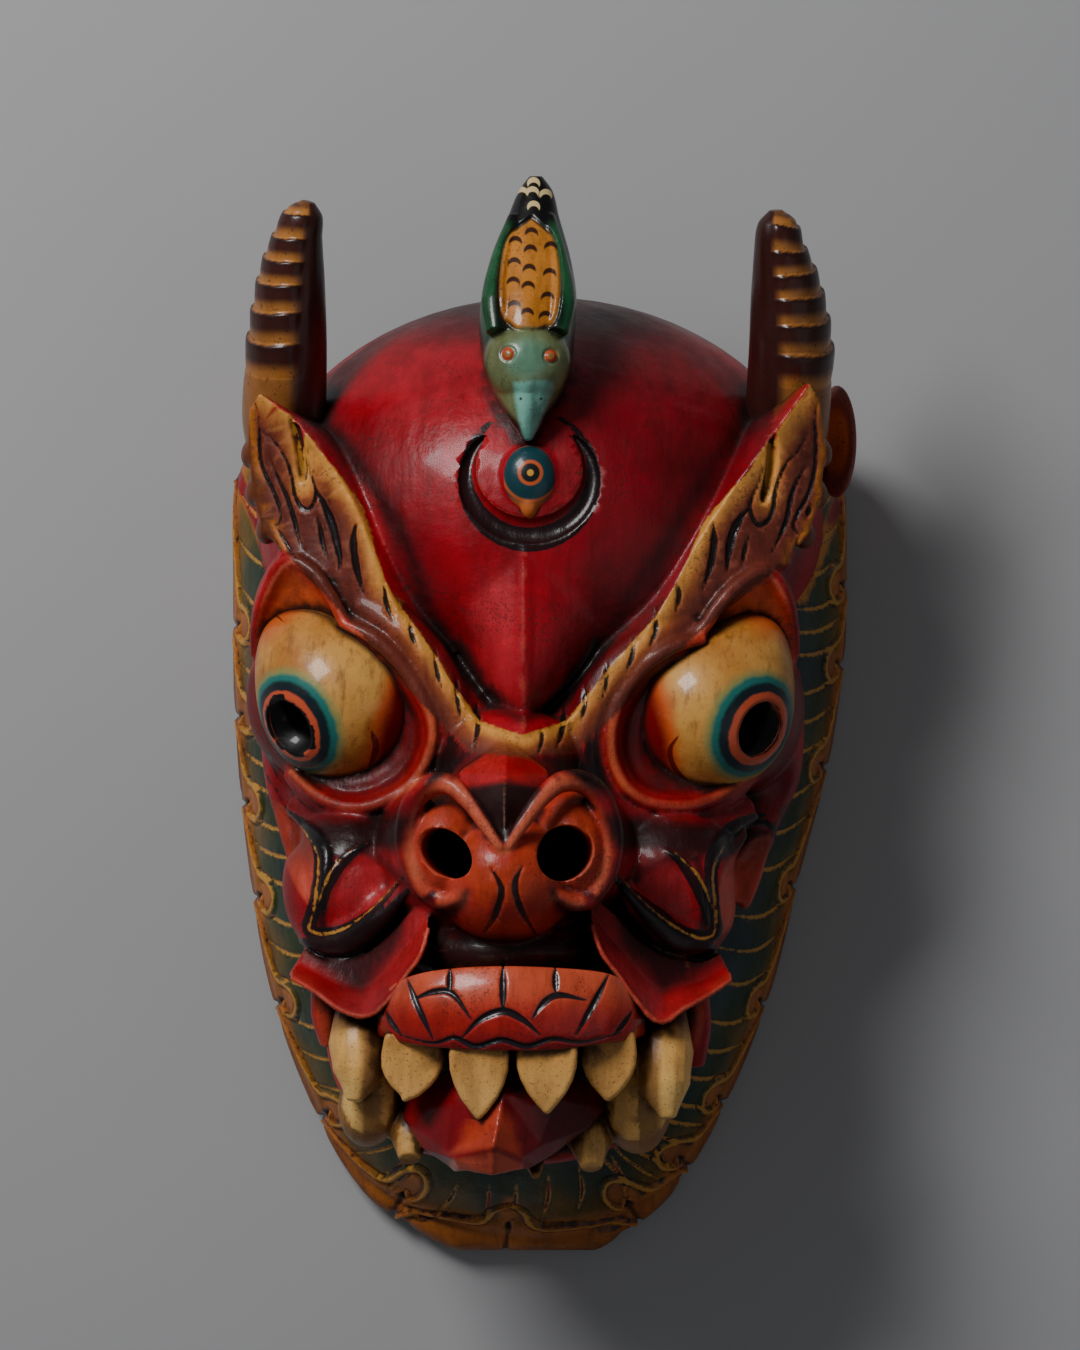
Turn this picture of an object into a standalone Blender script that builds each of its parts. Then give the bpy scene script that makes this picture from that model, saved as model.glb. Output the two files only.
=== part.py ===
"""A carved wooden dance mask: a horned beast's face with a bird on its crown.

The mask lies face up on the flat rim of its back. +Z comes out of the face, +Y runs up to the crown and
+X to the viewer's right. The origin is on the rim's plane, under the middle of the mask's box.

Sizes are in millimetres and become metres in place(). The features are laid out as the eye sees them from
SIGHT above the rim, over the point EYE_OVER: across and up are read in the plane at MIDDLE, and out is the
true height.
"""

import math

import bmesh
import bpy
from mathutils import Matrix, Vector

MM = 0.001

# Driving sizes
SIGHT = 2200.0
MIDDLE = 120.0
EYE_OVER = Vector((0.7, 26.0, 0.0))
LEFT_HALF = 142.0
RIGHT_HALF = 141.0
CHIN = -267.0
SHOULDER = 92.0
FACE_HEIGHT = 132.0
EYE_RADIUS = 39.0
PUPIL_RADIUS = 13.0
WALL = 15.0
CLEARANCE = 0.35

# Mesh fineness
BLOCK = 3.0
FINE_BLOCK = 1.6
CARVING_FACES = 24000
MASK_FACES = 4800
BIRD_FACES = 700
EAR_FACES = 220

DOME_CENTRE = (0.0, 72.0, 44.0)
DOME_RADII = (137.0, 108.0, 130.0)

LEFT_EYE = (-92.5, -10.5, 131.0)
RIGHT_EYE = (79.0, -15.0, 131.0)
LEFT_GAZE = (-118.0, -25.0)
RIGHT_GAZE = (104.0, -26.0)


def place(across, up, out):
    """A laid-out point as a true place, in metres."""
    nearer = (SIGHT - out) / (SIGHT - MIDDLE)
    return (Vector((across * nearer, up * nearer, out)) + EYE_OVER) * MM


def bare(name, mesh):
    """A new object in the scene that holds the mesh."""
    piece = bpy.data.objects.new(name, mesh)
    bpy.context.scene.collection.objects.link(piece)
    return piece


def ball(centre, radii, turn=(0.0, 0.0, 0.0)):
    """An ellipsoid, turned by degrees about its own X, Y and Z."""
    spin = [math.radians(angle) for angle in turn]
    bpy.ops.mesh.primitive_uv_sphere_add(
        segments=32, ring_count=20, radius=MM, location=place(*centre), rotation=spin)
    piece = bpy.context.object
    piece.scale = radii
    return piece


def strand(points, radii):
    """A round ridge through the points, with its own radius at each of them."""
    data = bpy.data.curves.new("strand", "CURVE")
    data.dimensions = "3D"
    data.resolution_u = 6
    data.bevel_depth = MM
    data.bevel_resolution = 4
    data.use_fill_caps = True
    spline = data.splines.new("BEZIER")
    spline.bezier_points.add(len(points) - 1)
    for knot, point, radius in zip(spline.bezier_points, points, radii):
        knot.co = place(*point)
        knot.radius = radius
        knot.handle_left_type = "AUTO"
        knot.handle_right_type = "AUTO"
    return bare("strand", data)


def loft(rings):
    """A closed body through rings of points, each ring a list of places with as many points as the others."""
    form = bmesh.new()
    rows = [[form.verts.new(point) for point in ring] for ring in rings]
    for row, after in zip(rows, rows[1:]):
        for i in range(len(row)):
            j = (i + 1) % len(row)
            form.faces.new((row[i], row[j], after[j], after[i]))
    form.faces.new(rows[0][::-1])
    form.faces.new(rows[-1])
    bmesh.ops.recalc_face_normals(form, faces=form.faces)
    mesh = bpy.data.meshes.new("loft")
    form.to_mesh(mesh)
    form.free()
    return bare("loft", mesh)


def slab(outline, low, high, lean=0.0):
    """A flat outline (across, up, out of its front edge) with straight sides down to low."""
    front = [place(across, up, high + lean * (up - outline[0][1])) for across, up in outline]
    back = [place(across, up, low) for across, up in outline]
    return loft([back, front])


def between(stations, at):
    """Reads a list of (place, value, value, ...) rows at one place, along smooth curves."""
    rows = sorted(stations)
    at = min(max(at, rows[0][0]), rows[-1][0])
    for i in range(len(rows) - 1):
        if at <= rows[i + 1][0]:
            break
    before, low = rows[max(i - 1, 0)], rows[i]
    high, after = rows[i + 1], rows[min(i + 2, len(rows) - 1)]
    span = high[0] - low[0]
    t = (at - low[0]) / span
    values = []
    for k in range(1, len(low)):
        slope_low = (high[k] - before[k]) / max(high[0] - before[0], 1e-6) * span
        slope_high = (after[k] - low[k]) / max(after[0] - low[0], 1e-6) * span
        values.append(
            (2 * t**3 - 3 * t**2 + 1) * low[k] + (t**3 - 2 * t**2 + t) * slope_low
            + (3 * t**2 - 2 * t**3) * high[k] + (t**3 - t**2) * slope_high)
    return values


# The face's block: (up, left half, right half, height, squareness)
FACE_BLOCK = (
    (128.0, 122.0, 122.0, 60.0, 2.6),
    (SHOULDER, LEFT_HALF - 2.0, RIGHT_HALF - 2.0, 92.0, 2.6),
    (35.0, LEFT_HALF, RIGHT_HALF + 1.0, 124.0, 2.4),
    (-30.0, LEFT_HALF - 2.0, RIGHT_HALF - 6.0, FACE_HEIGHT, 2.3),
    (-90.0, LEFT_HALF - 8.0, RIGHT_HALF - 21.0, FACE_HEIGHT, 2.2),
    (-146.0, LEFT_HALF - 18.0, RIGHT_HALF - 35.0, 124.0, 2.2),
    (-200.0, LEFT_HALF - 38.0, RIGHT_HALF - 57.0, 98.0, 2.2),
    (-236.0, LEFT_HALF - 60.0, RIGHT_HALF - 79.0, 60.0, 2.1),
    (-252.0, LEFT_HALF - 83.0, RIGHT_HALF - 98.0, 34.0, 2.1),
    (-262.0, LEFT_HALF - 105.0, RIGHT_HALF - 117.0, 18.0, 2.0),
    (CHIN, LEFT_HALF - 127.0, RIGHT_HALF - 139.0, 8.0, 2.0),
)


def face_ring(up, inward=0.0, below=12.0, sides=28):
    """One section of the face's block, this much smaller all round, and open down to below the rim."""
    left, right, height, square = between(FACE_BLOCK, up)
    left, right, height = left - inward, right - inward, height - inward
    ring = [place(-left, up, -below)]
    for i in range(sides + 1):
        angle = math.pi * (1.0 - i / sides)
        side = math.cos(angle)
        half = right if side > 0 else left
        across = half * math.copysign(abs(side) ** (2.0 / square), side)
        out = height * math.sin(angle) ** (2.0 / square) if 0 < i < sides else 0.0
        ring.append(place(across, up, out))
    ring.append(place(right, up, -below))
    return ring


def face_block(inward=0.0, below=12.0):
    """The egg-shaped block behind the face, from the shoulder to the chin."""
    top, bottom, steps = FACE_BLOCK[0][0] - inward, CHIN + inward, 24
    return loft([face_ring(top + (bottom - top) * i / steps, inward, below) for i in range(steps + 1)])


def dome(inward=0.0):
    """The skull's dome."""
    return [ball(DOME_CENTRE, [radius - inward for radius in DOME_RADII])]


def dome_top(across, up):
    """The height of the dome's surface at a point."""
    reach = ((across - DOME_CENTRE[0]) / DOME_RADII[0]) ** 2 + ((up - DOME_CENTRE[1]) / DOME_RADII[1]) ** 2
    return DOME_CENTRE[2] + DOME_RADII[2] * math.sqrt(max(1.0 - reach, 0.0))


def ridged(rows, floor, steps=12, sharp=1.3):
    """A form with a sharp ridge along its middle: rows of (up, left, right, ridge place, edge height, ridge height)."""
    rings = []
    for i in range(steps + 1):
        up = rows[0][0] + (rows[-1][0] - rows[0][0]) * i / steps
        left, right, middle, edge, ridge = between(rows, up)
        ring = [place(left, up, floor)]
        for step in range(13):
            share = step / 12
            side = abs(share - 0.5) * 2
            across = middle + ((left if share < 0.5 else right) - middle) * side
            ring.append(place(across, up, ridge - (ridge - edge) * side ** sharp))
        ring.append(place(right, up, floor))
        rings.append(ring)
    return loft(rings)


KEEL = (
    (66.0, -26.0, 16.0, -6.0, 158.0, 170.5),
    (40.0, -48.0, 42.0, -7.0, 146.0, 173.0),
    (10.0, -37.0, 26.0, -8.0, 148.0, 173.5),
    (-10.0, -24.0, 9.0, -8.0, 152.0, 172.5),
    (-24.0, -9.0, -7.0, -8.0, 160.0, 170.0),
)


def forehead_keel():
    """The keel that runs from the crescent down to the point between the brows."""
    return [ridged(KEEL, 110.0, sharp=1.5)]


def third_eye():
    """The boss of the eye in the middle of the forehead."""
    return [ball((-5.0, 92.0, 170.0), (13.5, 15.5, 8.0))]


# Each brow: (foot on the dome), (gold inner edge), (outer edge), from the point between the eyes to the tip
LEFT_BROW = (
    ((-8, -24, 152), (-8, -29, 168), (-8, -37, 160)),
    ((-20, -14, 150), (-29, -23, 168), (-33, -36, 156)),
    ((-38, 6, 147), (-49, 8, 166), (-62, -6, 153)),
    ((-52, 30, 145), (-66, 29, 163), (-86, 22, 152)),
    ((-63, 62, 140), (-78, 58, 160), (-112, 50, 148)),
    ((-78, 88, 132), (-92, 90, 157), (-130, 70, 140)),
    ((-96, 112, 122), (-114, 119, 153), (-136, 100, 140)),
    ((-118, 124, 112), (-131, 132, 150), (-136, 124, 146)),
)
RIGHT_BROW = (
    ((-8, -24, 152), (-8, -29, 168), (-8, -37, 160)),
    ((8, -14, 150), (13, -22, 168), (17, -36, 156)),
    ((26, 10, 147), (34, 4, 166), (46, -8, 153)),
    ((42, 36, 145), (54, 26, 163), (72, 18, 152)),
    ((58, 60, 140), (72, 59, 160), (106, 46, 148)),
    ((72, 84, 132), (88, 84, 157), (126, 68, 140)),
    ((92, 112, 122), (109, 113, 153), (133, 100, 140)),
    ((112, 130, 112), (126, 137, 150), (131, 128, 146)),
)


def brow(rows, steps=20):
    """A flame-shaped brow plate: a wall on the dome's side, a broad front and an outer wall."""
    stations = [(i, *foot, *inner, *outer) for i, (foot, inner, outer) in enumerate(rows)]
    rings = []
    for i in range(steps + 1):
        line = between(stations, (len(rows) - 1) * i / steps)
        foot, inner, outer = line[0:3], line[3:6], line[6:9]
        deep = (outer[0] * 0.92, outer[1] * 0.96, 86.0)
        rings.append([place(foot[0] * 0.92, foot[1], 86.0), place(*foot), place(*inner), place(*outer), place(*deep)])
    return [loft(rings)]


def brow_scallops(rows, side):
    """The flame's small lobes along the outer edge."""
    lobes = []
    stations = [(i, *outer) for i, (foot, inner, outer) in enumerate(rows)]
    for at in (4.35, 4.95, 5.55, 6.15):
        across, up, out = between(stations, at)
        lobes.append(ball((across - side * 3, up, out - 12), (6, 8, 13), (0, 0, side * 20)))
    return lobes


def eyeball(centre):
    """The round of an eye and the flesh behind it."""
    across, up, out = centre
    return [ball(centre, [EYE_RADIUS] * 3), ball((across, up, out - 22), [EYE_RADIUS + 6] * 3)]


LEFT_LID = ((-93, 25, 158), (-75, 15, 163), (-57, -7, 163), (-50, -27, 162), (-57, -47, 160), (-71, -58, 158),
            (-87, -62, 154), (-103, -57, 146), (-116, -45, 134))
RIGHT_LID = ((77, 17, 158), (62, 13, 163), (44, -1, 163), (34, -22, 162), (35, -43, 160), (46, -57, 158),
             (66, -61, 154), (84, -56, 146), (98, -46, 134))
LEFT_FOLD = ((-84, 34, 150), (-62, 18, 156), (-44, -8, 157), (-38, -32, 156), (-46, -58, 152), (-68, -72, 146),
             (-94, -72, 138), (-114, -62, 122))
RIGHT_FOLD = ((70, 26, 150), (48, 12, 156), (28, -8, 157), (21, -32, 156), (28, -58, 152), (50, -72, 146),
              (74, -72, 138), (96, -62, 122))
# Each hood: (where it leaves the eyeball), (its crest), from the outer corner to the notch in the lid
LEFT_HOOD = (
    ((-131, 2, 122), (-133, 8, 122)),
    ((-130, 14, 128), (-132, 22, 132)),
    ((-125, 26, 134), (-128, 37, 144)),
    ((-115, 31, 138), (-118, 52, 152)),
    ((-105, 31, 142), (-107, 48, 157)),
    ((-97, 27, 147), (-97, 35, 160)),
    ((-91, 21, 151), (-90, 23, 160)),
    ((-82, 16, 153), (-79, 17, 160)),
)
RIGHT_HOOD = (
    ((117, 2, 122), (119, 8, 122)),
    ((116, 13, 128), (118, 22, 132)),
    ((112, 24, 134), (115, 35, 144)),
    ((104, 29, 138), (106, 47, 152)),
    ((94, 29, 142), (95, 43, 157)),
    ((84, 25, 147), (83, 31, 160)),
    ((77, 18, 151), (75, 20, 160)),
    ((67, 13, 153), (64, 14, 160)),
)


def hood(rows, steps=14):
    """A leaf that rises from the eyeball to a thin crest and falls away behind it."""
    stations = [(i, *foot, *crest) for i, (foot, crest) in enumerate(rows)]
    rings = []
    for i in range(steps + 1):
        line = between(stations, (len(rows) - 1) * i / steps)
        foot, crest = line[0:3], line[3:6]
        middle = [(a + b) / 2 for a, b in zip(foot, crest)]
        back = (crest[0] * 1.02, crest[1] + 4, crest[2] - 5)
        rings.append([place(foot[0], foot[1] - 5, 100), place(foot[0], foot[1] - 4, foot[2] - 3), place(*foot),
                      place(middle[0], middle[1], middle[2] - 2.5), place(*crest), place(*back),
                      place(back[0], back[1] + 3, 100)])
    return loft(rings)


def eye_surround(eye, lid_line, fold_line, hood_rows):
    """The lid's rim, the bed between it and the eyeball, the fold outside it and the hood over the eye."""
    ends = [0.75] + [1.0] * (len(lid_line) - 2) + [0.7]
    under = [(across, up, out - 8) for across, up, out in lid_line]
    bed = [(across + (eye[0] - across) * 0.17, up + (eye[1] - up) * 0.17, out - 17) for across, up, out in lid_line]
    crest = [top for foot, top in hood_rows]
    return [
        strand(lid_line, [3.6 * share for share in ends]),
        strand(under, [7.5 * share for share in ends]),
        strand(bed, [10.5] * len(bed)),
        strand(fold_line, [7, 10, 10, 10, 12, 13, 12, 8]),
        hood(hood_rows),
        strand([(across, up + 1, out - 3) for across, up, out in crest], [2.5] + [3.2] * (len(crest) - 2) + [2.5]),
    ]


NOSE_DIAMOND = (
    (-31.0, -18.0, -14.5, -16.3, 188.0, 190.0),
    (-39.0, -29.0, -3.5, -16.3, 196.0, 210.0),
    (-46.7, -38.0, 4.5, -16.3, 203.0, 221.0),
    (-60.0, -30.0, -3.0, -16.5, 215.0, 231.0),
    (-72.0, -22.0, -11.0, -16.6, 228.0, 236.0),
    (-81.0, -18.0, -15.5, -16.8, 234.0, 237.0),
)
LEFT_NOSTRIL_RIM = (
    (-18, -81, 236), (-26, -69, 235), (-35, -57, 231), (-45, -50.5, 225), (-56, -55, 219), (-61.5, -67, 216),
    (-61.5, -84, 214), (-55, -98, 214), (-46, -105, 217), (-36, -103, 224))
RIGHT_NOSTRIL_RIM = (
    (-16, -81, 236), (-8, -69, 235), (2, -56, 231), (12, -49.5, 225), (24, -52.5, 219), (31.5, -65, 216),
    (33, -83, 214), (28, -98, 214), (18.5, -106, 217), (7, -103, 224))


def nose():
    """The diamond on the bridge, the nostrils' rims and the broad tip."""
    return [
        ridged(NOSE_DIAMOND, 150.0, sharp=1.0),
        ball((-16, -92, 194), (33, 32, 45)),
        ball((-41, -80, 192), (22, 29, 36), (0, -8, -6)),
        ball((12, -80, 192), (22, 29, 36), (0, 8, 6)),
        ball((-16, -84, 150), (62, 46, 62)),
        ball((-14, -40, 150), (34, 26, 40)),
        strand(LEFT_NOSTRIL_RIM, [2.5, 3.5, 4.2, 5, 5.5, 5.5, 5.5, 5, 4.5, 3]),
        strand(RIGHT_NOSTRIL_RIM, [2.5, 3.5, 4.2, 5, 5.5, 5.5, 5.5, 5, 4.5, 3]),
    ]


LEFT_ROLL = ((-112, -72, 132), (-106, -92, 146), (-108, -116, 152), (-92, -124, 162), (-76, -112, 172), (-64, -99, 180))
RIGHT_ROLL = ((95, -72, 132), (84, -92, 146), (83, -114, 152), (67, -124, 162), (50, -111, 172), (38, -97, 180))


LEFT_FLANK = ((-121, 4, 84), (-118, -22, 92), (-114, -48, 100), (-110, -70, 106), (-106, -92, 112), (-104, -112, 118))
RIGHT_FLANK = ((112, 4, 84), (111, -22, 92), (108, -46, 100), (101, -66, 106), (97, -86, 112), (90, -108, 118))


def cheeks():
    """The full cheeks and the rolls beside the mouth."""
    return [
        ball((-84, -98, 136), (36, 40, 38), (0, -14, 0)),
        ball((58, -98, 136), (36, 40, 38), (0, 14, 0)),
        strand(LEFT_ROLL, [4, 5, 6, 8, 8, 5]),
        strand(RIGHT_ROLL, [4, 5, 6, 8, 8, 5]),
        strand(LEFT_FLANK, [10, 14, 15, 13, 11, 9]),
        strand(RIGHT_FLANK, [10, 13, 14, 12, 10, 8]),
    ]


# Each lip wing: (upper edge), (lower edge), from beside the nose to the outer corner
LEFT_WING = (
    ((-50, -102, 190), (-52, -118, 202)),
    ((-60, -110, 186), (-56, -131, 204)),
    ((-66, -117, 182), (-63, -141, 203)),
    ((-73, -124, 178), (-71, -152, 202)),
    ((-81, -130, 174), (-80, -159, 198)),
    ((-90, -133, 169), (-92, -157, 191)),
    ((-100, -133, 164), (-105, -148, 181)),
    ((-110, -128, 158), (-117, -141, 171)),
)
RIGHT_WING = (
    ((22, -102, 190), (24, -116, 202)),
    ((33, -110, 186), (29, -130, 204)),
    ((40, -117, 182), (37, -141, 203)),
    ((47, -124, 178), (45, -152, 202)),
    ((56, -130, 174), (56, -162, 198)),
    ((66, -133, 169), (67, -156, 191)),
    ((76, -134, 164), (78, -150, 181)),
    ((84, -130, 158), (90, -142, 171)),
)


def wing(rows, steps=14, deep=110.0):
    """A flared plate whose upper edge lies back against the cheek and whose lower edge is a rounded lip."""
    stations = [(i, *upper, *lower) for i, (upper, lower) in enumerate(rows)]
    rings = []
    for i in range(steps + 1):
        line = between(stations, (len(rows) - 1) * i / steps)
        upper, lower = line[0:3], line[3:6]
        middle = [(a + b) / 2 for a, b in zip(upper, lower)]
        middle[2] -= 5.0
        rings.append([place(*upper), place(*middle), place(lower[0], lower[1] + 2, lower[2] - 0.5),
                      place(lower[0], lower[1], lower[2] - 3), place(lower[0], lower[1] + 1, lower[2] - 12),
                      place(middle[0], middle[1], deep), place(upper[0], upper[1], deep)])
    return loft(rings)


def lip_wings():
    """The flared corners of the upper lip, and the lip's bed under the nose."""
    edges = [strand([lower for upper, lower in rows], [2.2] + [2.6] * (len(rows) - 2) + [2.0])
             for rows in (LEFT_WING, RIGHT_WING)]
    return [wing(LEFT_WING), wing(RIGHT_WING), ball((-14, -126, 150), (50, 20, 56))] + edges


def gum():
    """The arched upper gum over the teeth."""
    rings = []
    for across, top, bottom, out in (
            (-73, -160, -165, 190), (-70, -148, -169, 200), (-64, -140, -171.5, 209), (-50, -138, -174, 218),
            (-34, -136.5, -175, 223), (-12, -136, -175.5, 225), (12, -137, -174.5, 222), (28, -138, -173, 217),
            (39, -142, -171, 208), (45, -150, -168, 199), (48, -160, -165, 190)):
        middle = (top + bottom) / 2
        rings.append([place(across, top, 130), place(across, top, out - 6), place(across, middle + 6, out),
                      place(across, middle - 6, out + 1), place(across, bottom, out - 4), place(across, bottom, 150)])
    return [loft(rings)]


def front_tooth(left, right, top, tip, out):
    """A flat pointed tooth that hangs from the gum."""
    middle, width = (left + right) / 2, right - left
    drop = tip[1] - top
    sides = ((0.3, 0.0), (0.6, 0.07), (0.76, 0.19), (0.9, 0.36))
    outline = [(left + width * 0.04, top)]
    for share, inset in sides:
        outline.append((left + width * inset + (tip[0] - middle) * share * 0.4, top + drop * share))
    outline.append(tip)
    for share, inset in sides[::-1]:
        outline.append((right - width * inset + (tip[0] - middle) * share * 0.4, top + drop * share))
    outline += [(right - width * 0.04, top)]
    return slab(outline, out - 13, out, lean=0.1)


# Each front tooth: (left, right, top), its tip, and how far out it stands
TEETH = (
    ((-73.5, -43.5, -160), (-64.4, -200), 206), ((-42.5, -12.8, -162), (-28.8, -208.8), 217),
    ((-12, 18.2, -162), (3.3, -206), 217), ((18.8, 46.6, -160), (31.8, -200), 206))


def teeth():
    """Four front teeth, two pairs of fangs and the small teeth of the lower jaw."""
    front = [front_tooth(left, right, top, tip, out) for (left, right, top), tip, out in TEETH]
    fangs = [
        strand(((-86, -146, 172), (-86.5, -168, 182), (-87, -186, 186), (-88.5, -199, 186)), [11, 12.5, 10, 4]),
        strand(((59, -148, 172), (58.5, -172, 182), (59.5, -192, 186), (60.5, -206, 186)), [11, 12.5, 10.5, 4]),
        strand(((-82, -213, 140), (-82, -203, 158), (-82, -176, 166)), [10, 13.5, 10]),
        strand(((46, -215, 140), (46, -204, 158), (48, -176, 166)), [10, 15, 10]),
    ]
    small = [
        strand(((-60, -200, 136), (-60.5, -214, 160), (-61, -228, 172)), [8, 8, 3.5]),
        strand(((22, -202, 136), (22.5, -217, 160), (24, -232, 172)), [9, 9, 3.5]),
        strand(((-3, -218, 144), (-2.5, -228, 162), (-2, -234, 170)), [6, 5, 2]),
    ]
    return front + fangs + small


def tongue():
    """The faceted tongue that comes out over the lower jaw."""
    rows = (
        ((-62, -188, 100), (-62, -194, 168), (-40, -182, 186), (-14, -178, 192), (14, -184, 184), (34, -194, 166),
         (34, -188, 100)),
        ((-64, -206, 100), (-64, -207, 172), (-40, -198, 196), (-17, -196, 210), (8, -198, 196), (31, -203, 172),
         (31, -202, 100)),
        ((-55, -220, 120), (-55, -221, 180), (-44, -222, 196), (-20, -212, 214), (0, -220, 196), (22, -212, 178),
         (22, -211, 120)),
        ((-43, -228, 130), (-43, -229, 186), (-40, -226, 202), (-22, -220, 216), (-8, -225, 202), (6, -224, 184),
         (6, -223, 130)),
        ((-40, -230, 140), (-40, -232, 184), (-38, -231, 198), (-22, -234, 208), (-9, -231, 198), (-4, -230, 184),
         (-4, -229, 140)),
    )
    return [loft([[place(*point) for point in ring] for ring in rows])]


def jaw():
    """The rim of the lower jaw and the plates at the mouth's corners."""
    rim = ((-92, -150, 132), (-90, -176, 138), (-82, -198, 142), (-64, -212, 145), (-38, -220, 147), (-4, -222, 147),
           (24, -217, 145), (44, -207, 143), (58, -190, 140), (66, -168, 136), (66, -150, 132))
    under = tuple((across * 0.98, up + 5, out - 18) for across, up, out in rim)
    plates = [
        strand(((-99, -142, 150), (-99, -158, 152), (-97, -172, 148)), [8, 8, 6]),
        strand(((71, -146, 150), (72, -164, 152), (71, -182, 148)), [8, 8, 6]),
    ]
    return [strand(rim, [6] + [6.5] * 9 + [6]), strand(under, [10] + [12] * 9 + [10])] + plates


# Where the mane's edge is pinched between two scallops, as the place up each side, and the one under the chin
LEFT_PINCHES = (22.0, -21.0, -58.0, -104.0, -155.0, -204.0, -247.0)
RIGHT_PINCHES = (40.0, 3.0, -45.0, -97.0, -153.0, -197.0, -229.0, -252.0)
CHIN_PINCH = (-16.0, CHIN)


def mane_line(out, inward, pinch=3.0, steps=60):
    """The mane's edge from the left shoulder round the chin to the right one."""
    line = []
    for side, pinches in ((-1, LEFT_PINCHES), (1, RIGHT_PINCHES)):
        part = []
        for i in range(steps + 1):
            up = SHOULDER + (CHIN + inward - SHOULDER) * math.sin(math.pi / 2 * i / steps)
            left, right, height, square = between(FACE_BLOCK, up)
            half = (left if side < 0 else right) - inward
            near = min(abs(up - pinch_up) for pinch_up in pinches)
            half -= pinch * math.exp(-((near / 3.0) ** 2))
            part.append((side * max(half, 2.0), up, out))
        line += part if side < 0 else part[::-1]
    return line


def mane():
    """The scalloped band round the sides and the chin."""
    line = mane_line(9.0, 8.0)[::3]
    return [strand(line, [9.0] * len(line))]


def pinch_cuts():
    """The notches between the mane's scallops."""
    notches = []
    for side, pinches in ((-1, LEFT_PINCHES), (1, RIGHT_PINCHES)):
        for up in pinches:
            half, above = [between(FACE_BLOCK, at)[0 if side < 0 else 1] for at in (up, up + 1.0)]
            outward = Vector((side, half - above)).normalized() * 1.5
            bpy.ops.mesh.primitive_cylinder_add(
                vertices=10, radius=3.5 * MM, depth=0.07, location=place(side * half + outward.x, up + outward.y, 25))
            notches.append(joined("mane_notch", [bpy.context.object]))
    bpy.ops.mesh.primitive_cylinder_add(
        vertices=10, radius=3.5 * MM, depth=0.07, location=place(CHIN_PINCH[0], CHIN_PINCH[1] - 1.5, 25))
    return notches + [joined("mane_notch", [bpy.context.object])]


def crescent_cut():
    """The crescent sunk round the eye in the forehead."""
    points, radii, steps = [], [], 12
    for i in range(steps + 1):
        angle = math.radians(135 + 270 * i / steps)
        across, up = -5 + 29 * math.cos(angle), 93 + 26 * math.sin(angle)
        radius = 1.5 + 5.5 * math.sin(math.pi * i / steps)
        points.append((across, up, dome_top(across, up) + radius * 0.35))
        radii.append(radius)
    return joined("crescent", [strand(points, radii)])


def cheek_scoops():
    """The hollows on the outer side of both cheeks."""
    return [joined("scoop", [ball((-119, -92, 124), (8, 22, 20), (0, 0, -10))]),
            joined("scoop", [ball((102, -96, 124), (9, 27, 22), (0, 0, 22))])]


def joined(name, pieces):
    """The pieces as one mesh object at the origin."""
    bpy.ops.object.select_all(action="DESELECT")
    for piece in pieces:
        piece.select_set(True)
    bpy.context.view_layer.objects.active = pieces[0]
    bpy.ops.object.convert(target="MESH")
    bpy.ops.object.transform_apply(location=True, rotation=True, scale=True)
    if len(pieces) > 1:
        bpy.ops.object.join()
    whole = bpy.context.object
    whole.name = name
    whole.data.name = name
    return whole


def applied(piece, kind, **settings):
    """Adds one modifier to the piece and applies it."""
    modifier = piece.modifiers.new(kind.title(), kind)
    for key, value in settings.items():
        setattr(modifier, key, value)
    bpy.ops.object.select_all(action="DESELECT")
    piece.select_set(True)
    bpy.context.view_layer.objects.active = piece
    bpy.ops.object.modifier_apply(modifier=modifier.name)


def one_shell(whole):
    """Keeps the outer skin and drops the small pockets that the forms close off between them."""
    form = bmesh.new()
    form.from_mesh(whole.data)
    left, shells = set(form.faces), []
    while left:
        shell, edge = set(), {next(iter(left))}
        while edge:
            shell |= edge
            edge = {beside for face in edge for side in face.edges for beside in side.link_faces} - shell
        shells.append(shell)
        left -= shell
    outer = max(shells, key=len)
    bmesh.ops.delete(form, geom=[face for face in form.faces if face not in outer], context="FACES")
    form.to_mesh(whole.data)
    form.free()


def thinned(whole, faces):
    """Drops the faces that the shape needs least, down to about this many triangles."""
    triangles = sum(len(face.vertices) - 2 for face in whole.data.polygons)
    applied(whole, "DECIMATE", ratio=faces / triangles)


def merged(name, pieces, block, faces=0, smooth=2):
    """The pieces grown together into one skin, with about this many faces if a number is given."""
    whole = joined(name, pieces)
    applied(whole, "REMESH", mode="VOXEL", voxel_size=block * MM)
    if smooth:
        applied(whole, "SMOOTH", factor=0.5, iterations=smooth)
    if faces:
        thinned(whole, faces)
    return whole


def soft_forms():
    """The rounded forms that run into each other."""
    forms = [face_block()] + dome() + third_eye()
    forms += brow_scallops(LEFT_BROW, -1) + brow_scallops(RIGHT_BROW, 1)
    forms += eyeball(LEFT_EYE) + eyeball(RIGHT_EYE)
    forms += eye_surround(LEFT_EYE, LEFT_LID, LEFT_FOLD, LEFT_HOOD)
    forms += eye_surround(RIGHT_EYE, RIGHT_LID, RIGHT_FOLD, RIGHT_HOOD)
    return forms + nose() + cheeks() + jaw() + mane()


def sharp_forms():
    """The forms with crisp edges, grown onto the rounded ones at a finer grain."""
    return forehead_keel() + brow(LEFT_BROW) + brow(RIGHT_BROW) + lip_wings() + gum() + teeth() + tongue()


def horn_ring(centre, along, outward, radius, swell):
    """One section of a horn, fuller on its ringed outer side."""
    across = along.cross(outward).normalized()
    ring = []
    for i in range(12):
        angle = math.tau * i / 12
        reach = radius * (1.0 + swell * max(0.0, math.cos(angle)) ** 0.5)
        ring.append(centre + (outward * math.cos(angle) + across * math.sin(angle)) * reach * MM)
    return ring


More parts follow.
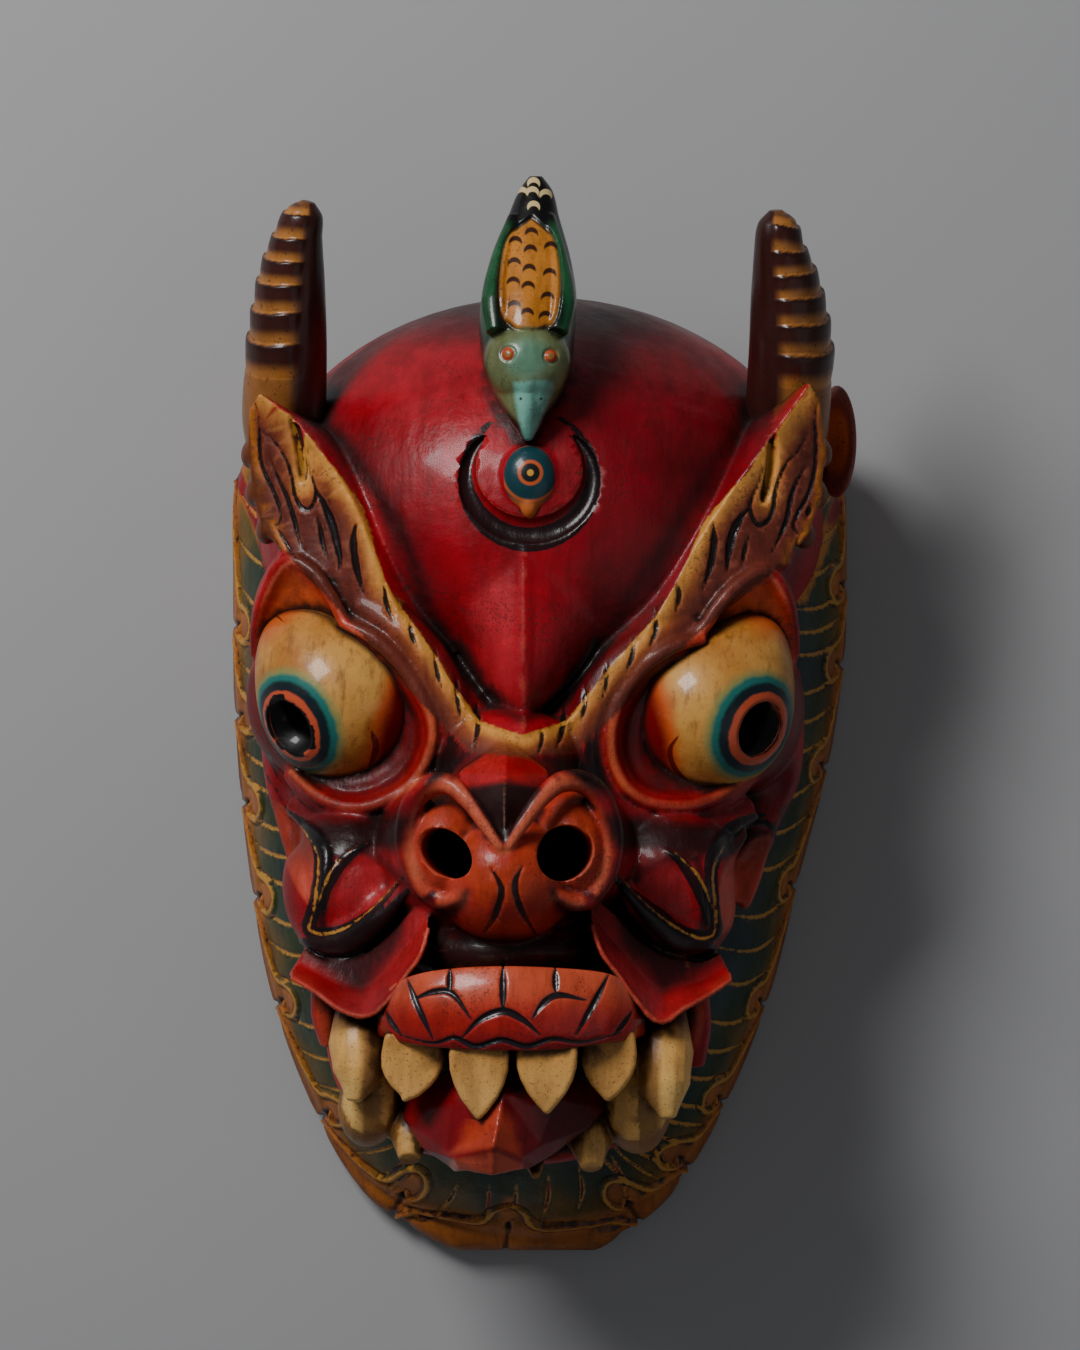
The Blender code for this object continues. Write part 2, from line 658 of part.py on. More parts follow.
LEFT_HORN = (
    (0.00, -117, 100, 84, 18.5), (0.20, -119, 122, 104, 19.5), (0.45, -117, 156, 122, 17.5), (0.68, -115, 186, 133, 14.5),
    (0.86, -112, 206, 140, 10.5), (1.00, -108, 221, 144, 3.0))
RIGHT_HORN = (
    (0.00, 114, 96, 84, 18.5), (0.20, 115, 118, 104, 19.5), (0.45, 116, 152, 122, 18.5), (0.68, 114, 180, 133, 15.5),
    (0.86, 111, 200, 140, 11.0), (1.00, 110, 217, 144, 3.0))
HORN_RINGS = (0.36, 0.47, 0.57, 0.67, 0.76, 0.85, 0.94)


def horn(name, spine, side):
    """A horn whose outer side steps in at each ring."""
    rings = []
    steps = 34
    for i in range(steps + 1):
        t = i / steps
        across, up, out, radius = between(spine, t)
        ahead = between(spine, min(t + 0.02, 1.0))
        back = between(spine, max(t - 0.02, 0.0))
        centre = place(across, up, out)
        along = (place(*ahead[:3]) - place(*back[:3])).normalized()
        outward = Vector((side, 0.0, 0.25))
        outward = (outward - along * outward.dot(along)).normalized()
        past = [ring for ring in HORN_RINGS if ring <= t]
        step = (t - past[-1]) / 0.1 if past else 0.0
        swell = 0.16 * min(step, 1.0) if past else 0.06 * min(t / 0.3, 1.0)
        rings.append(horn_ring(centre, along, outward, radius, swell))
    piece = loft(rings)
    piece.name = name
    return piece


def ear(name, side, across, up, out, reach):
    """A thin leaf-shaped ear that stands on the side of the head."""
    forms = [
        ball((across - side * 5, up - 6, out - reach * 1.2), (7, reach * 0.6, reach * 0.9)),
        ball((across, up, out), (4.2, reach, reach * 0.5), (0, side * 38, 0)),
    ]
    return merged(name, forms, FINE_BLOCK, EAR_FACES, smooth=1)


def bird_ring(up, centre, half, back, belly, sides=20):
    """One section of the bird, square to its length, with a rounder back than belly."""
    ring = []
    for i in range(sides):
        angle = math.tau * i / sides
        across = centre + half * math.cos(angle)
        out = (back + belly) / 2 + (back - belly) / 2 * math.sin(angle)
        ring.append(place(across, up, out))
    return ring


# The bird from its tail to its beak: (up, middle, half width, back, belly)
BIRD_LINE = (
    (233, -2, 3, 152, 145), (226, -2, 8, 156, 142), (214, -3, 12, 162, 140), (196, -4, 18, 174, 138), (178, -5, 22, 184, 132),
    (164, -6, 22.5, 189, 122), (150, -6, 21.5, 189, 127), (137, -6, 19, 189, 140), (126, -6, 13, 186, 150),
    (118, -6, 8, 182, 161), (110, -6, 2, 177, 170))


def bird():
    """The bird on the crown: its body, wings, head, beak and the foot that beds it in the dome."""
    rings = []
    for i in range(31):
        up = 233 + (110 - 233) * i / 30
        rings.append(bird_ring(up, *between(BIRD_LINE, up)))
    forms = [loft(rings)]
    forms.append(ball((-6, 146, 176), (20, 19, 18)))
    for side in (-1, 1):
        forms.append(strand(((-4 + side * 8, 214, 157), (-5 + side * 13, 194, 168), (-5.5 + side * 15.5, 174, 178),
                             (-6 + side * 14, 160, 184)), [3, 5, 6.5, 5]))
    forms.append(ball((-6, 149, 133), (16, 16, 14)))
    return merged("bird", forms, FINE_BLOCK, BIRD_FACES, smooth=1)


def finish_material(name, colour, roughness):
    """A painted and varnished wood in one colour."""
    paint = bpy.data.materials.new(name)
    paint.use_nodes = True
    shader = paint.node_tree.nodes["Principled BSDF"]
    shader.inputs["Base Color"].default_value = (*colour, 1.0)
    shader.inputs["Roughness"].default_value = roughness
    shader.inputs["Metallic"].default_value = 0.0
    paint.diffuse_color = (*colour, 1.0)
    return paint


def cutter(piece, folder):
    """Marks a piece as a guide that only cuts."""
    for owner in list(piece.users_collection):
        owner.objects.unlink(piece)
    folder.objects.link(piece)
    piece.hide_render = True
    piece.display_type = "WIRE"
    return piece


def rim_box():
    """The block that levels the back to one flat plane."""
    bpy.ops.mesh.primitive_cube_add(size=1.0, location=(0.0, 0.0, -0.05))
    box = bpy.context.object
    box.scale = (0.6, 0.8, 0.1)
    return joined("rim_plane", [box])


def hollow():
    """The room for the wearer's face, a wall's thickness inside the mask."""
    return merged("hollow", [face_block(WALL, 30.0)] + dome(WALL), 5.0, 700, smooth=3)


def drill(name, mouth, end, radii):
    """A straight hole, oval in section, from a mouth on the face to an end in the hollow."""
    start, stop = place(*mouth), place(*end)
    along = stop - start
    bpy.ops.mesh.primitive_cylinder_add(vertices=20, radius=MM, depth=along.length)
    piece = bpy.context.object
    turn = along.to_track_quat("Z", "Y").to_matrix().to_4x4()
    size = Matrix.Diagonal((radii[0], radii[1], 1.0, 1.0))
    piece.matrix_world = Matrix.Translation((start + stop) / 2) @ turn @ size
    return joined(name, [piece])


def eye_holes():
    """The wearer looks out through both pupils and breathes through both nostrils."""
    return [
        drill("pupil_left", (*LEFT_GAZE, 190), (-92, -12, 70), (PUPIL_RADIUS, PUPIL_RADIUS)),
        drill("pupil_right", (*RIGHT_GAZE, 190), (80, -14, 70), (PUPIL_RADIUS - 1, PUPIL_RADIUS - 1)),
        drill("nostril_left", (-46, -83, 245), (-34, -84, 100), (9.8, 13.8)),
        drill("nostril_right", (13, -83, 245), (4, -84, 100), (12, 13.4)),
    ]


def grown(piece, by):
    """A copy of the piece that stands out from it by a clearance."""
    copy = bare(piece.name + "_socket", piece.data.copy())
    applied(copy, "DISPLACE", mid_level=0.0, strength=by * MM)
    return copy


def cut(piece, tool):
    """Takes the tool's shape out of the piece."""
    applied(piece, "BOOLEAN", operation="DIFFERENCE", solver="EXACT", object=tool)


def main():
    for old in list(bpy.data.objects):
        bpy.data.objects.remove(old)
    parts = bpy.data.collections.new("cham_mask")
    cutters = bpy.data.collections.new("cham_mask_cutters")
    bpy.context.scene.collection.children.link(parts)
    bpy.context.scene.collection.children.link(cutters)

    loose = [
        (horn("horn_left", LEFT_HORN, -1), (0.13, 0.04, 0.03), 0.3),
        (horn("horn_right", RIGHT_HORN, 1), (0.13, 0.04, 0.03), 0.3),
        (ear("ear_left", -1, 15.0 - LEFT_HALF, 112, 57, 20), (0.15, 0.05, 0.03), 0.4),
        (ear("ear_right", 1, RIGHT_HALF - 2.5, 109, 76, 27), (0.15, 0.05, 0.03), 0.4),
        (bird(), (0.05, 0.15, 0.06), 0.3),
    ]
    rounded = merged("rounded_forms", soft_forms(), BLOCK)
    mask = merged("mask", [rounded] + sharp_forms(), FINE_BLOCK, CARVING_FACES, smooth=0)
    carving = [crescent_cut()] + pinch_cuts() + cheek_scoops()
    openings = [hollow(), rim_box()] + eye_holes() + [grown(piece, CLEARANCE) for piece, colour, gloss in loose]
    for tool in carving:
        cutter(tool, cutters)
        cut(mask, tool)
    applied(mask, "REMESH", mode="VOXEL", voxel_size=FINE_BLOCK * MM)
    thinned(mask, MASK_FACES)
    for tool in openings:
        cutter(tool, cutters)
        cut(mask, tool)
    one_shell(mask)

    for piece, colour, roughness in loose + [(mask, (0.35, 0.02, 0.02), 0.35)]:
        piece.data.materials.clear()
        piece.data.materials.append(finish_material(piece.name + "_paint", colour, roughness))
        for owner in list(piece.users_collection):
            owner.objects.unlink(piece)
        parts.objects.link(piece)
        piece.data.shade_smooth()
        piece.data.set_sharp_from_angle(angle=math.radians(40))


main()
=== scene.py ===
"""The looks of a carved and painted wooden dance mask, laid face up on a pale floor."""

import math

import bmesh
import bpy
import numpy as np
from mathutils import Matrix, Vector
from mathutils.bvhtree import BVHTree


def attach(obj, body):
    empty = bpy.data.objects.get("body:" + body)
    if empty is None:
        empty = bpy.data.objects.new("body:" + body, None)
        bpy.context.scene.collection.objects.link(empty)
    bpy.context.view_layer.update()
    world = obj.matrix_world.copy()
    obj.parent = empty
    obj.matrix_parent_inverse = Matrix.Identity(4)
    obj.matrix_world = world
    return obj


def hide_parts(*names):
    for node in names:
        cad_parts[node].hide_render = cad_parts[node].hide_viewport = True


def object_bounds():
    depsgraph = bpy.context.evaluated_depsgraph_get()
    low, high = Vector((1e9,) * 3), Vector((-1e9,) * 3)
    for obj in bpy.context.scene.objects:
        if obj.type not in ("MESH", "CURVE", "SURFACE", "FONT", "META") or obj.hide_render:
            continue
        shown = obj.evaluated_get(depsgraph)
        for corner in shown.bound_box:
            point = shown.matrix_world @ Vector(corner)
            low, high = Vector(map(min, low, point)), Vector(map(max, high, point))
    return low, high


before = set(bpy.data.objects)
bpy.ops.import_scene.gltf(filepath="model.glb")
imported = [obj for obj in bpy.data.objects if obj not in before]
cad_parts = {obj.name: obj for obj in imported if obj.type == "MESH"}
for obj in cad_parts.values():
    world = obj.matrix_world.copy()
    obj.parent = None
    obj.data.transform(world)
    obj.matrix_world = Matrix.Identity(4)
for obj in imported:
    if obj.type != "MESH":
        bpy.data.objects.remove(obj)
frame_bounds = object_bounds()

MM = 0.001

# Driving sizes, in millimetres
SIGHT = 2200.0
MIDDLE = 120.0
EYE_OVER = Vector((0.7, 26.0, 0.0))
LEFT_HALF = 142.0
RIGHT_HALF = 141.0
CHIN = -267.0
SHOULDER = 92.0
FACE_HEIGHT = 132.0
EYE_RADIUS = 39.0
PUPIL_RADIUS = 13.0
WALL = 15.0

# How fine each skin is, and how many triangles the body keeps
FACE_GRAIN = 1.25
MANE_GRAIN = 1.35
SMALL_GRAIN = 0.9
BIRD_GRAIN = 0.75
FACE_FACES = 170000
MANE_FACES = 120000

DOME_CENTRE = (0.0, 72.0, 44.0)
DOME_RADII = (137.0, 108.0, 130.0)

LEFT_EYE = (-92.5, -10.5, 131.0)
RIGHT_EYE = (79.0, -15.0, 131.0)
LEFT_GAZE = (-118.0, -25.0)
RIGHT_GAZE = (104.0, -26.0)
# Where each eyeball bulges out of its round to meet the hood, and by how much
LEFT_BULGE = ((-0.66, 0.745, 0.06), 10.0)
RIGHT_BULGE = ((0.57, 0.8, 0.1), 12.0)

# The photograph's frame: its height in pixels and the size of one pixel at MIDDLE
FRAME_PIXELS_HIGH = 1350
PIXEL = 0.467

# The turn, in radians, that spreads rays evenly round a point
GOLDEN_TURN = 2.39996
# What a point keeps where no line is near, and where a line is too far off to measure
FAR = 9.0
OUT_OF_REACH = 99.0


def srgb(red, green, blue):
    """A colour given in sRGB, as the shaders read it."""
    return tuple(((c / 255 + 0.055) / 1.055) ** 2.4 if c > 10 else c / 3294.6 for c in (red, green, blue))


# Paints that several parts share
# Near black: black paint, and painted shade in the creases
BLACK_AND_SHADE = srgb(13, 10, 11)
MAROON = srgb(44, 7, 10)
BARE_WOOD = srgb(70, 44, 28)


# Placing and reading points


def place(across, up, out):
    """A laid-out point as a true place, in metres."""
    nearer = (SIGHT - out) / (SIGHT - MIDDLE)
    return (Vector((across * nearer, up * nearer, out)) + EYE_OVER) * MM


def seen(points):
    """True places as laid-out points: across, up and out."""
    out = points[:, 2] / MM
    nearer = (SIGHT - out) / (SIGHT - MIDDLE)
    return (points[:, 0] / MM - EYE_OVER.x) / nearer, (points[:, 1] / MM - EYE_OVER.y) / nearer, out


def between(stations, at):
    """Reads a list of (place, value, value, ...) rows at one place, along smooth curves."""
    rows = sorted(stations)
    at = min(max(at, rows[0][0]), rows[-1][0])
    for i in range(len(rows) - 1):
        if at <= rows[i + 1][0]:
            break
    before, low = rows[max(i - 1, 0)], rows[i]
    high, after = rows[i + 1], rows[min(i + 2, len(rows) - 1)]
    span = high[0] - low[0]
    t = (at - low[0]) / span
    values = []
    for k in range(1, len(low)):
        slope_low = (high[k] - before[k]) / max(high[0] - before[0], 1e-6) * span
        slope_high = (after[k] - low[k]) / max(after[0] - low[0], 1e-6) * span
        values.append(
            (2 * t**3 - 3 * t**2 + 1) * low[k] + (t**3 - 2 * t**2 + t) * slope_low
            + (3 * t**2 - 2 * t**3) * high[k] + (t**3 - t**2) * slope_high)
    return values


def flowing(points, steps=6):
    """A smooth line through the points, with this many steps between each two."""
    stations = [(i, *point) for i, point in enumerate(points)]
    count = (len(points) - 1) * steps
    return np.array([between(stations, (len(points) - 1) * i / count) for i in range(count + 1)])


# Blocking out


def only(piece):
    """Selects one piece and nothing else."""
    bpy.ops.object.select_all(action="DESELECT")
    piece.select_set(True)
    bpy.context.view_layer.objects.active = piece
    return piece


def shape(add, **settings):
    """Adds one of Blender's plain mesh shapes, alone in the selection."""
    bpy.ops.object.select_all(action="DESELECT")
    add(**settings)
    return bpy.context.object


def bare(name, mesh):
    """A new object in the scene that holds the mesh."""
    piece = bpy.data.objects.new(name, mesh)
    bpy.context.scene.collection.objects.link(piece)
    return piece


def ball(centre, radii, turn=(0.0, 0.0, 0.0)):
    """An ellipsoid, turned by degrees about its own X, Y and Z."""
    spin = [math.radians(angle) for angle in turn]
    piece = shape(bpy.ops.mesh.primitive_uv_sphere_add, segments=64, ring_count=40, radius=MM,
                  location=place(*centre), rotation=spin)
    piece.scale = radii
    return piece


def strand(points, radii, steps=10):
    """A round ridge through the points, with its own radius at each of them."""
    data = bpy.data.curves.new("strand", "CURVE")
    data.dimensions = "3D"
    data.resolution_u = steps
    data.bevel_depth = MM
    data.bevel_resolution = 6
    data.use_fill_caps = True
    spline = data.splines.new("BEZIER")
    spline.bezier_points.add(len(points) - 1)
    for knot, point, radius in zip(spline.bezier_points, points, radii):
        knot.co = place(*point)
        knot.radius = radius
        knot.handle_left_type = "AUTO"
        knot.handle_right_type = "AUTO"
    return bare("strand", data)


def loft(rings):
    """A closed body through rings of points, each ring with as many points as the others."""
    form = bmesh.new()
    rows = [[form.verts.new(point) for point in ring] for ring in rings]
    for row, after in zip(rows, rows[1:]):
        for i in range(len(row)):
            j = (i + 1) % len(row)
            form.faces.new((row[i], row[j], after[j], after[i]))
    form.faces.new(rows[0][::-1])
    form.faces.new(rows[-1])
    bmesh.ops.recalc_face_normals(form, faces=form.faces)
    mesh = bpy.data.meshes.new("loft")
    form.to_mesh(mesh)
    form.free()
    return bare("loft", mesh)


def slab(outline, low, high, lean=0.0):
    """A flat outline (across, up) with straight sides down to low, leaning along its length."""
    front = [place(across, up, high + lean * (up - outline[0][1])) for across, up in outline]
    back = [place(across, up, low) for across, up in outline]
    return loft([back, front])


def joined(name, pieces):
    """The pieces as one mesh object at the origin."""
    bpy.ops.object.select_all(action="DESELECT")
    for piece in pieces:
        piece.select_set(True)
    bpy.context.view_layer.objects.active = pieces[0]
    bpy.ops.object.convert(target="MESH")
    bpy.ops.object.transform_apply(location=True, rotation=True, scale=True)
    if len(pieces) > 1:
        bpy.ops.object.join()
    whole = bpy.context.object
    whole.name = name
    whole.data.name = name
    return whole


def applied(piece, kind, **settings):
    """Adds one modifier to the piece and applies it."""
    only(piece)
    modifier = piece.modifiers.new(kind.title(), kind)
    for key, value in settings.items():
        setattr(modifier, key, value)
    bpy.ops.object.modifier_apply(modifier=modifier.name)


def merged(name, pieces, grain, smooth=2):
    """The pieces grown together into one skin."""
    whole = joined(name, pieces)
    applied(whole, "REMESH", mode="VOXEL", voxel_size=grain * MM)
    if smooth:
        applied(whole, "SMOOTH", factor=0.5, iterations=smooth)
    return whole


def thinned(whole, faces):
    """Drops the faces that the shape needs least, down to about this many triangles."""
    triangles = sum(len(face.vertices) - 2 for face in whole.data.polygons)
    if triangles > faces:
        applied(whole, "DECIMATE", ratio=faces / triangles)


def cut(piece, tool):
    """Takes the tool's shape out of the piece, and the tool away."""
    applied(piece, "BOOLEAN", operation="DIFFERENCE", solver="EXACT", object=tool)
    bpy.data.objects.remove(tool)


# The face's block: (up, left half, right half, height, squareness)
FACE_BLOCK = (
    (128.0, 122.0, 122.0, 60.0, 2.6),
    (SHOULDER, LEFT_HALF - 2.0, RIGHT_HALF - 2.0, 92.0, 2.6),
    (35.0, LEFT_HALF, RIGHT_HALF + 1.0, 124.0, 2.4),
    (-30.0, LEFT_HALF - 2.0, RIGHT_HALF - 6.0, FACE_HEIGHT, 2.3),
    (-90.0, LEFT_HALF - 8.0, RIGHT_HALF - 21.0, FACE_HEIGHT, 2.2),
    (-146.0, LEFT_HALF - 18.0, RIGHT_HALF - 35.0, 124.0, 2.2),
    (-200.0, LEFT_HALF - 38.0, RIGHT_HALF - 57.0, 98.0, 2.2),
    (-236.0, LEFT_HALF - 60.0, RIGHT_HALF - 79.0, 60.0, 2.1),
    (-252.0, LEFT_HALF - 83.0, RIGHT_HALF - 98.0, 34.0, 2.1),
    (-262.0, LEFT_HALF - 105.0, RIGHT_HALF - 117.0, 18.0, 2.0),
    (CHIN, LEFT_HALF - 127.0, RIGHT_HALF - 139.0, 8.0, 2.0),
)


def face_ring(up, inward=0.0, below=12.0, sides=56):
    """One section of the face's block, this much smaller all round, and open down to below the rim."""
    left, right, height, square = between(FACE_BLOCK, up)
    left, right, height = left - inward, right - inward, height - inward
    ring = [place(-left, up, -below)]
    for i in range(sides + 1):
        angle = math.pi * (1.0 - i / sides)
        side = math.cos(angle)
        half = right if side > 0 else left
        across = half * math.copysign(abs(side) ** (2.0 / square), side)
        out = height * math.sin(angle) ** (2.0 / square) if 0 < i < sides else 0.0
        ring.append(place(across, up, out))
    ring.append(place(right, up, -below))
    return ring


def face_block(inward=0.0, below=12.0):
    """The egg-shaped block behind the face, from the shoulder to the chin."""
    top, bottom, steps = FACE_BLOCK[0][0] - inward, CHIN + inward, 48
    return loft([face_ring(top + (bottom - top) * i / steps, inward, below) for i in range(steps + 1)])


def dome(inward=0.0):
    """The skull's dome."""
    return [ball(DOME_CENTRE, [radius - inward for radius in DOME_RADII])]


def dome_top(across, up):
    """The height of the dome's surface at a point."""
    reach = ((across - DOME_CENTRE[0]) / DOME_RADII[0]) ** 2 + ((up - DOME_CENTRE[1]) / DOME_RADII[1]) ** 2
    return DOME_CENTRE[2] + DOME_RADII[2] * math.sqrt(max(1.0 - reach, 0.0))


def ridged(rows, floor, steps=24, sharp=1.3):
    """A form with a ridge along its middle: rows of (up, left, right, ridge, edge height, ridge height)."""
    rings = []
    for i in range(steps + 1):
        up = rows[0][0] + (rows[-1][0] - rows[0][0]) * i / steps
        left, right, middle, edge, ridge = between(rows, up)
        ring = [place(left, up, floor)]
        for step in range(13):
            share = step / 12
            side = abs(share - 0.5) * 2
            across = middle + ((left if share < 0.5 else right) - middle) * side
            ring.append(place(across, up, ridge - (ridge - edge) * side ** sharp))
        ring.append(place(right, up, floor))
        rings.append(ring)
    return loft(rings)


KEEL = (
    (66.0, -26.0, 16.0, -6.0, 158.0, 170.5),
    (40.0, -48.0, 42.0, -7.0, 146.0, 173.0),
    (10.0, -37.0, 26.0, -8.0, 148.0, 173.5),
    (-10.0, -24.0, 9.0, -8.0, 152.0, 172.5),
    (-24.0, -9.0, -7.0, -8.0, 160.0, 170.0),
)


def forehead_keel():
    """The keel that runs from the crescent down to the point between the brows."""
    return [ridged(KEEL, 110.0, sharp=1.5)]


def third_eye():
    """The boss of the eye in the middle of the forehead."""
    return [ball((-5.0, 92.0, 170.0), (13.5, 15.5, 8.0))]


# Each brow: (foot on the dome), (gold inner edge), (outer edge), from the point between the eyes to the tip
LEFT_BROW = (
    ((-8, -24, 152), (-8, -29, 168), (-8, -37, 160)),
    ((-20, -14, 150), (-29, -23, 168), (-33, -36, 156)),
    ((-38, 6, 147), (-49, 8, 166), (-62, -6, 153)),
    ((-52, 30, 145), (-66, 29, 163), (-86, 22, 152)),
    ((-63, 62, 140), (-78, 58, 160), (-112, 50, 148)),
    ((-78, 88, 132), (-92, 90, 157), (-130, 70, 140)),
    ((-96, 112, 122), (-114, 119, 153), (-136, 100, 140)),
    ((-118, 124, 112), (-131, 132, 150), (-136, 124, 146)),
)
RIGHT_BROW = (
    ((-8, -24, 152), (-8, -29, 168), (-8, -37, 160)),
    ((8, -14, 150), (13, -22, 168), (17, -36, 156)),
    ((26, 10, 147), (34, 4, 166), (46, -8, 153)),
    ((42, 36, 145), (54, 26, 163), (72, 18, 152)),
    ((58, 60, 140), (72, 59, 160), (106, 46, 148)),
    ((72, 84, 132), (88, 84, 157), (126, 68, 140)),
    ((92, 112, 122), (109, 113, 153), (133, 100, 140)),
    ((112, 130, 112), (126, 137, 150), (131, 128, 146)),
)


def brow(rows, steps=48):
    """A flame-shaped brow plate: a wall on the dome's side, a broad front and an outer wall."""
    stations = [(i, *foot, *inner, *outer) for i, (foot, inner, outer) in enumerate(rows)]
    rings = []
    for i in range(steps + 1):
        line = between(stations, (len(rows) - 1) * i / steps)
        foot, inner, outer = line[0:3], line[3:6], line[6:9]
        deep = (outer[0] * 0.92, outer[1] * 0.96, 86.0)
        rings.append([place(foot[0] * 0.92, foot[1], 86.0), place(*foot), place(*inner), place(*outer),
                      place(*deep)])
    return [loft(rings)]


def brow_scallops(rows, side):
    """The flame's small lobes along the outer edge."""
    lobes = []
    stations = [(i, *row[2]) for i, row in enumerate(rows)]
    for at in (4.35, 4.95, 5.55, 6.15):
        across, up, out = between(stations, at)
        lobes.append(ball((across - side * 3, up, out - 12), (6, 8, 13), (0, 0, side * 20)))
    return lobes


def eye_bed(centre):
    """The flesh behind an eye."""
    across, up, out = centre
    return [ball(centre, [EYE_RADIUS - 1.0] * 3), ball((across, up, out - 22), [EYE_RADIUS + 6] * 3)]


LEFT_LID = ((-93, 25, 158), (-75, 15, 163), (-57, -7, 163), (-50, -27, 162), (-57, -47, 160),
            (-71, -58, 158), (-87, -62, 154), (-103, -57, 146), (-116, -45, 134))
RIGHT_LID = ((77, 17, 158), (62, 13, 163), (44, -1, 163), (34, -22, 162), (35, -43, 160), (46, -57, 158),
             (66, -61, 154), (84, -56, 146), (98, -46, 134))
LEFT_FOLD = ((-84, 34, 150), (-62, 18, 156), (-44, -8, 157), (-38, -32, 156), (-46, -58, 152),
             (-68, -72, 146), (-94, -72, 138), (-114, -62, 122))
RIGHT_FOLD = ((70, 26, 150), (48, 12, 156), (28, -8, 157), (21, -32, 156), (28, -58, 152), (50, -72, 146),
              (74, -72, 138), (96, -62, 122))
# Each hood: (where it leaves the eyeball), (its crest), from the outer corner to the notch in the lid
LEFT_HOOD = (
    ((-131, 2, 122), (-133, 8, 122)),
    ((-130, 14, 128), (-132, 22, 132)),
    ((-125, 26, 134), (-128, 37, 144)),
    ((-115, 31, 138), (-118, 52, 152)),
    ((-105, 31, 142), (-107, 48, 157)),
    ((-97, 27, 147), (-97, 35, 160)),
    ((-91, 21, 151), (-90, 23, 160)),
    ((-82, 16, 153), (-79, 17, 160)),
)
RIGHT_HOOD = (
    ((117, 2, 122), (119, 8, 122)),
    ((116, 13, 128), (118, 22, 132)),
    ((112, 24, 134), (115, 35, 144)),
    ((104, 29, 138), (106, 47, 152)),
    ((94, 29, 142), (95, 43, 157)),
    ((84, 25, 147), (83, 31, 160)),
    ((77, 18, 151), (75, 20, 160)),
    ((67, 13, 153), (64, 14, 160)),
)


def hood(rows, steps=36):
    """A leaf that rises from the eyeball to a thin crest and falls away behind it."""
    stations = [(i, *foot, *crest) for i, (foot, crest) in enumerate(rows)]
    rings = []
    for i in range(steps + 1):
        line = between(stations, (len(rows) - 1) * i / steps)
        foot, crest = line[0:3], line[3:6]
        middle = [(a + b) / 2 for a, b in zip(foot, crest)]
        back = (crest[0] * 1.02, crest[1] + 4, crest[2] - 5)
        rings.append([place(foot[0], foot[1] - 9, 100), place(foot[0], foot[1] - 7, foot[2] - 5), place(*foot),
                      place(middle[0], middle[1], middle[2] - 1.5), place(*crest), place(*back),
                      place(back[0], back[1] + 3, 100)])
    return loft(rings)


def eye_surround(eye, lid_line, fold_line, hood_rows):
    """The lid's rim, the bed between it and the eyeball, the fold outside it and the hood over the eye."""
    ends = [0.75] + [1.0] * (len(lid_line) - 2) + [0.7]
    under = [(across, up, out - 8) for across, up, out in lid_line]
    bed = [(across + (eye[0] - across) * 0.17, up + (eye[1] - up) * 0.17, out - 17)
           for across, up, out in lid_line]
    crest = [row[1] for row in hood_rows]
    return [
        strand(lid_line, [3.6 * share for share in ends]),
        strand(under, [7.5 * share for share in ends]),
        strand(bed, [10.5] * len(bed)),
        strand(fold_line, [7, 10, 10, 10, 12, 13, 12, 8]),
        hood(hood_rows),
        strand([(across, up + 1, out - 3) for across, up, out in crest],
               [2.5] + [3.2] * (len(crest) - 2) + [2.5]),
    ]


NOSE_DIAMOND = (
    (-31.0, -18.0, -14.5, -16.3, 188.0, 190.0),
    (-39.0, -29.0, -3.5, -16.3, 196.0, 210.0),
    (-46.7, -38.0, 4.5, -16.3, 203.0, 221.0),
    (-60.0, -30.0, -3.0, -16.5, 215.0, 231.0),
    (-72.0, -22.0, -11.0, -16.6, 228.0, 236.0),
    (-81.0, -18.0, -15.5, -16.8, 234.0, 237.0),
)
LEFT_NOSTRIL_RIM = (
    (-18, -81, 236), (-26, -69, 235), (-35, -57, 231), (-45, -50.5, 225), (-56, -55, 219), (-61.5, -67, 216),
    (-61.5, -84, 214), (-55, -98, 214), (-46, -105, 217), (-36, -103, 224))
RIGHT_NOSTRIL_RIM = (
    (-16, -81, 236), (-8, -69, 235), (2, -56, 231), (12, -49.5, 225), (24, -52.5, 219), (31.5, -65, 216),
    (33, -83, 214), (28, -98, 214), (18.5, -106, 217), (7, -103, 224))


def nose():
    """The diamond on the bridge, the nostrils' rims and the broad tip."""
    return [
        ridged(NOSE_DIAMOND, 150.0, sharp=1.0),
        ball((-16, -92, 194), (33, 32, 45)),
        ball((-41, -80, 192), (22, 29, 36), (0, -8, -6)),
        ball((12, -80, 192), (22, 29, 36), (0, 8, 6)),
        ball((-16, -84, 150), (62, 46, 62)),
        ball((-14, -40, 150), (34, 26, 40)),
        strand(LEFT_NOSTRIL_RIM, [2.5, 3.5, 4.2, 5, 5.5, 5.5, 5.5, 5, 4.5, 3]),
        strand(RIGHT_NOSTRIL_RIM, [2.5, 3.5, 4.2, 5, 5.5, 5.5, 5.5, 5, 4.5, 3]),
    ]


LEFT_ROLL = ((-112, -72, 132), (-106, -92, 146), (-108, -116, 152), (-92, -124, 162), (-76, -112, 172),
             (-64, -99, 180))
RIGHT_ROLL = ((95, -72, 132), (84, -92, 146), (83, -114, 152), (67, -124, 162), (50, -111, 172),
              (38, -97, 180))
LEFT_FLANK = ((-121, 4, 84), (-118, -22, 92), (-114, -48, 100), (-110, -70, 106), (-106, -92, 112),
              (-104, -112, 118))
RIGHT_FLANK = ((112, 4, 84), (111, -22, 92), (108, -46, 100), (101, -66, 106), (97, -86, 112),
               (90, -108, 118))


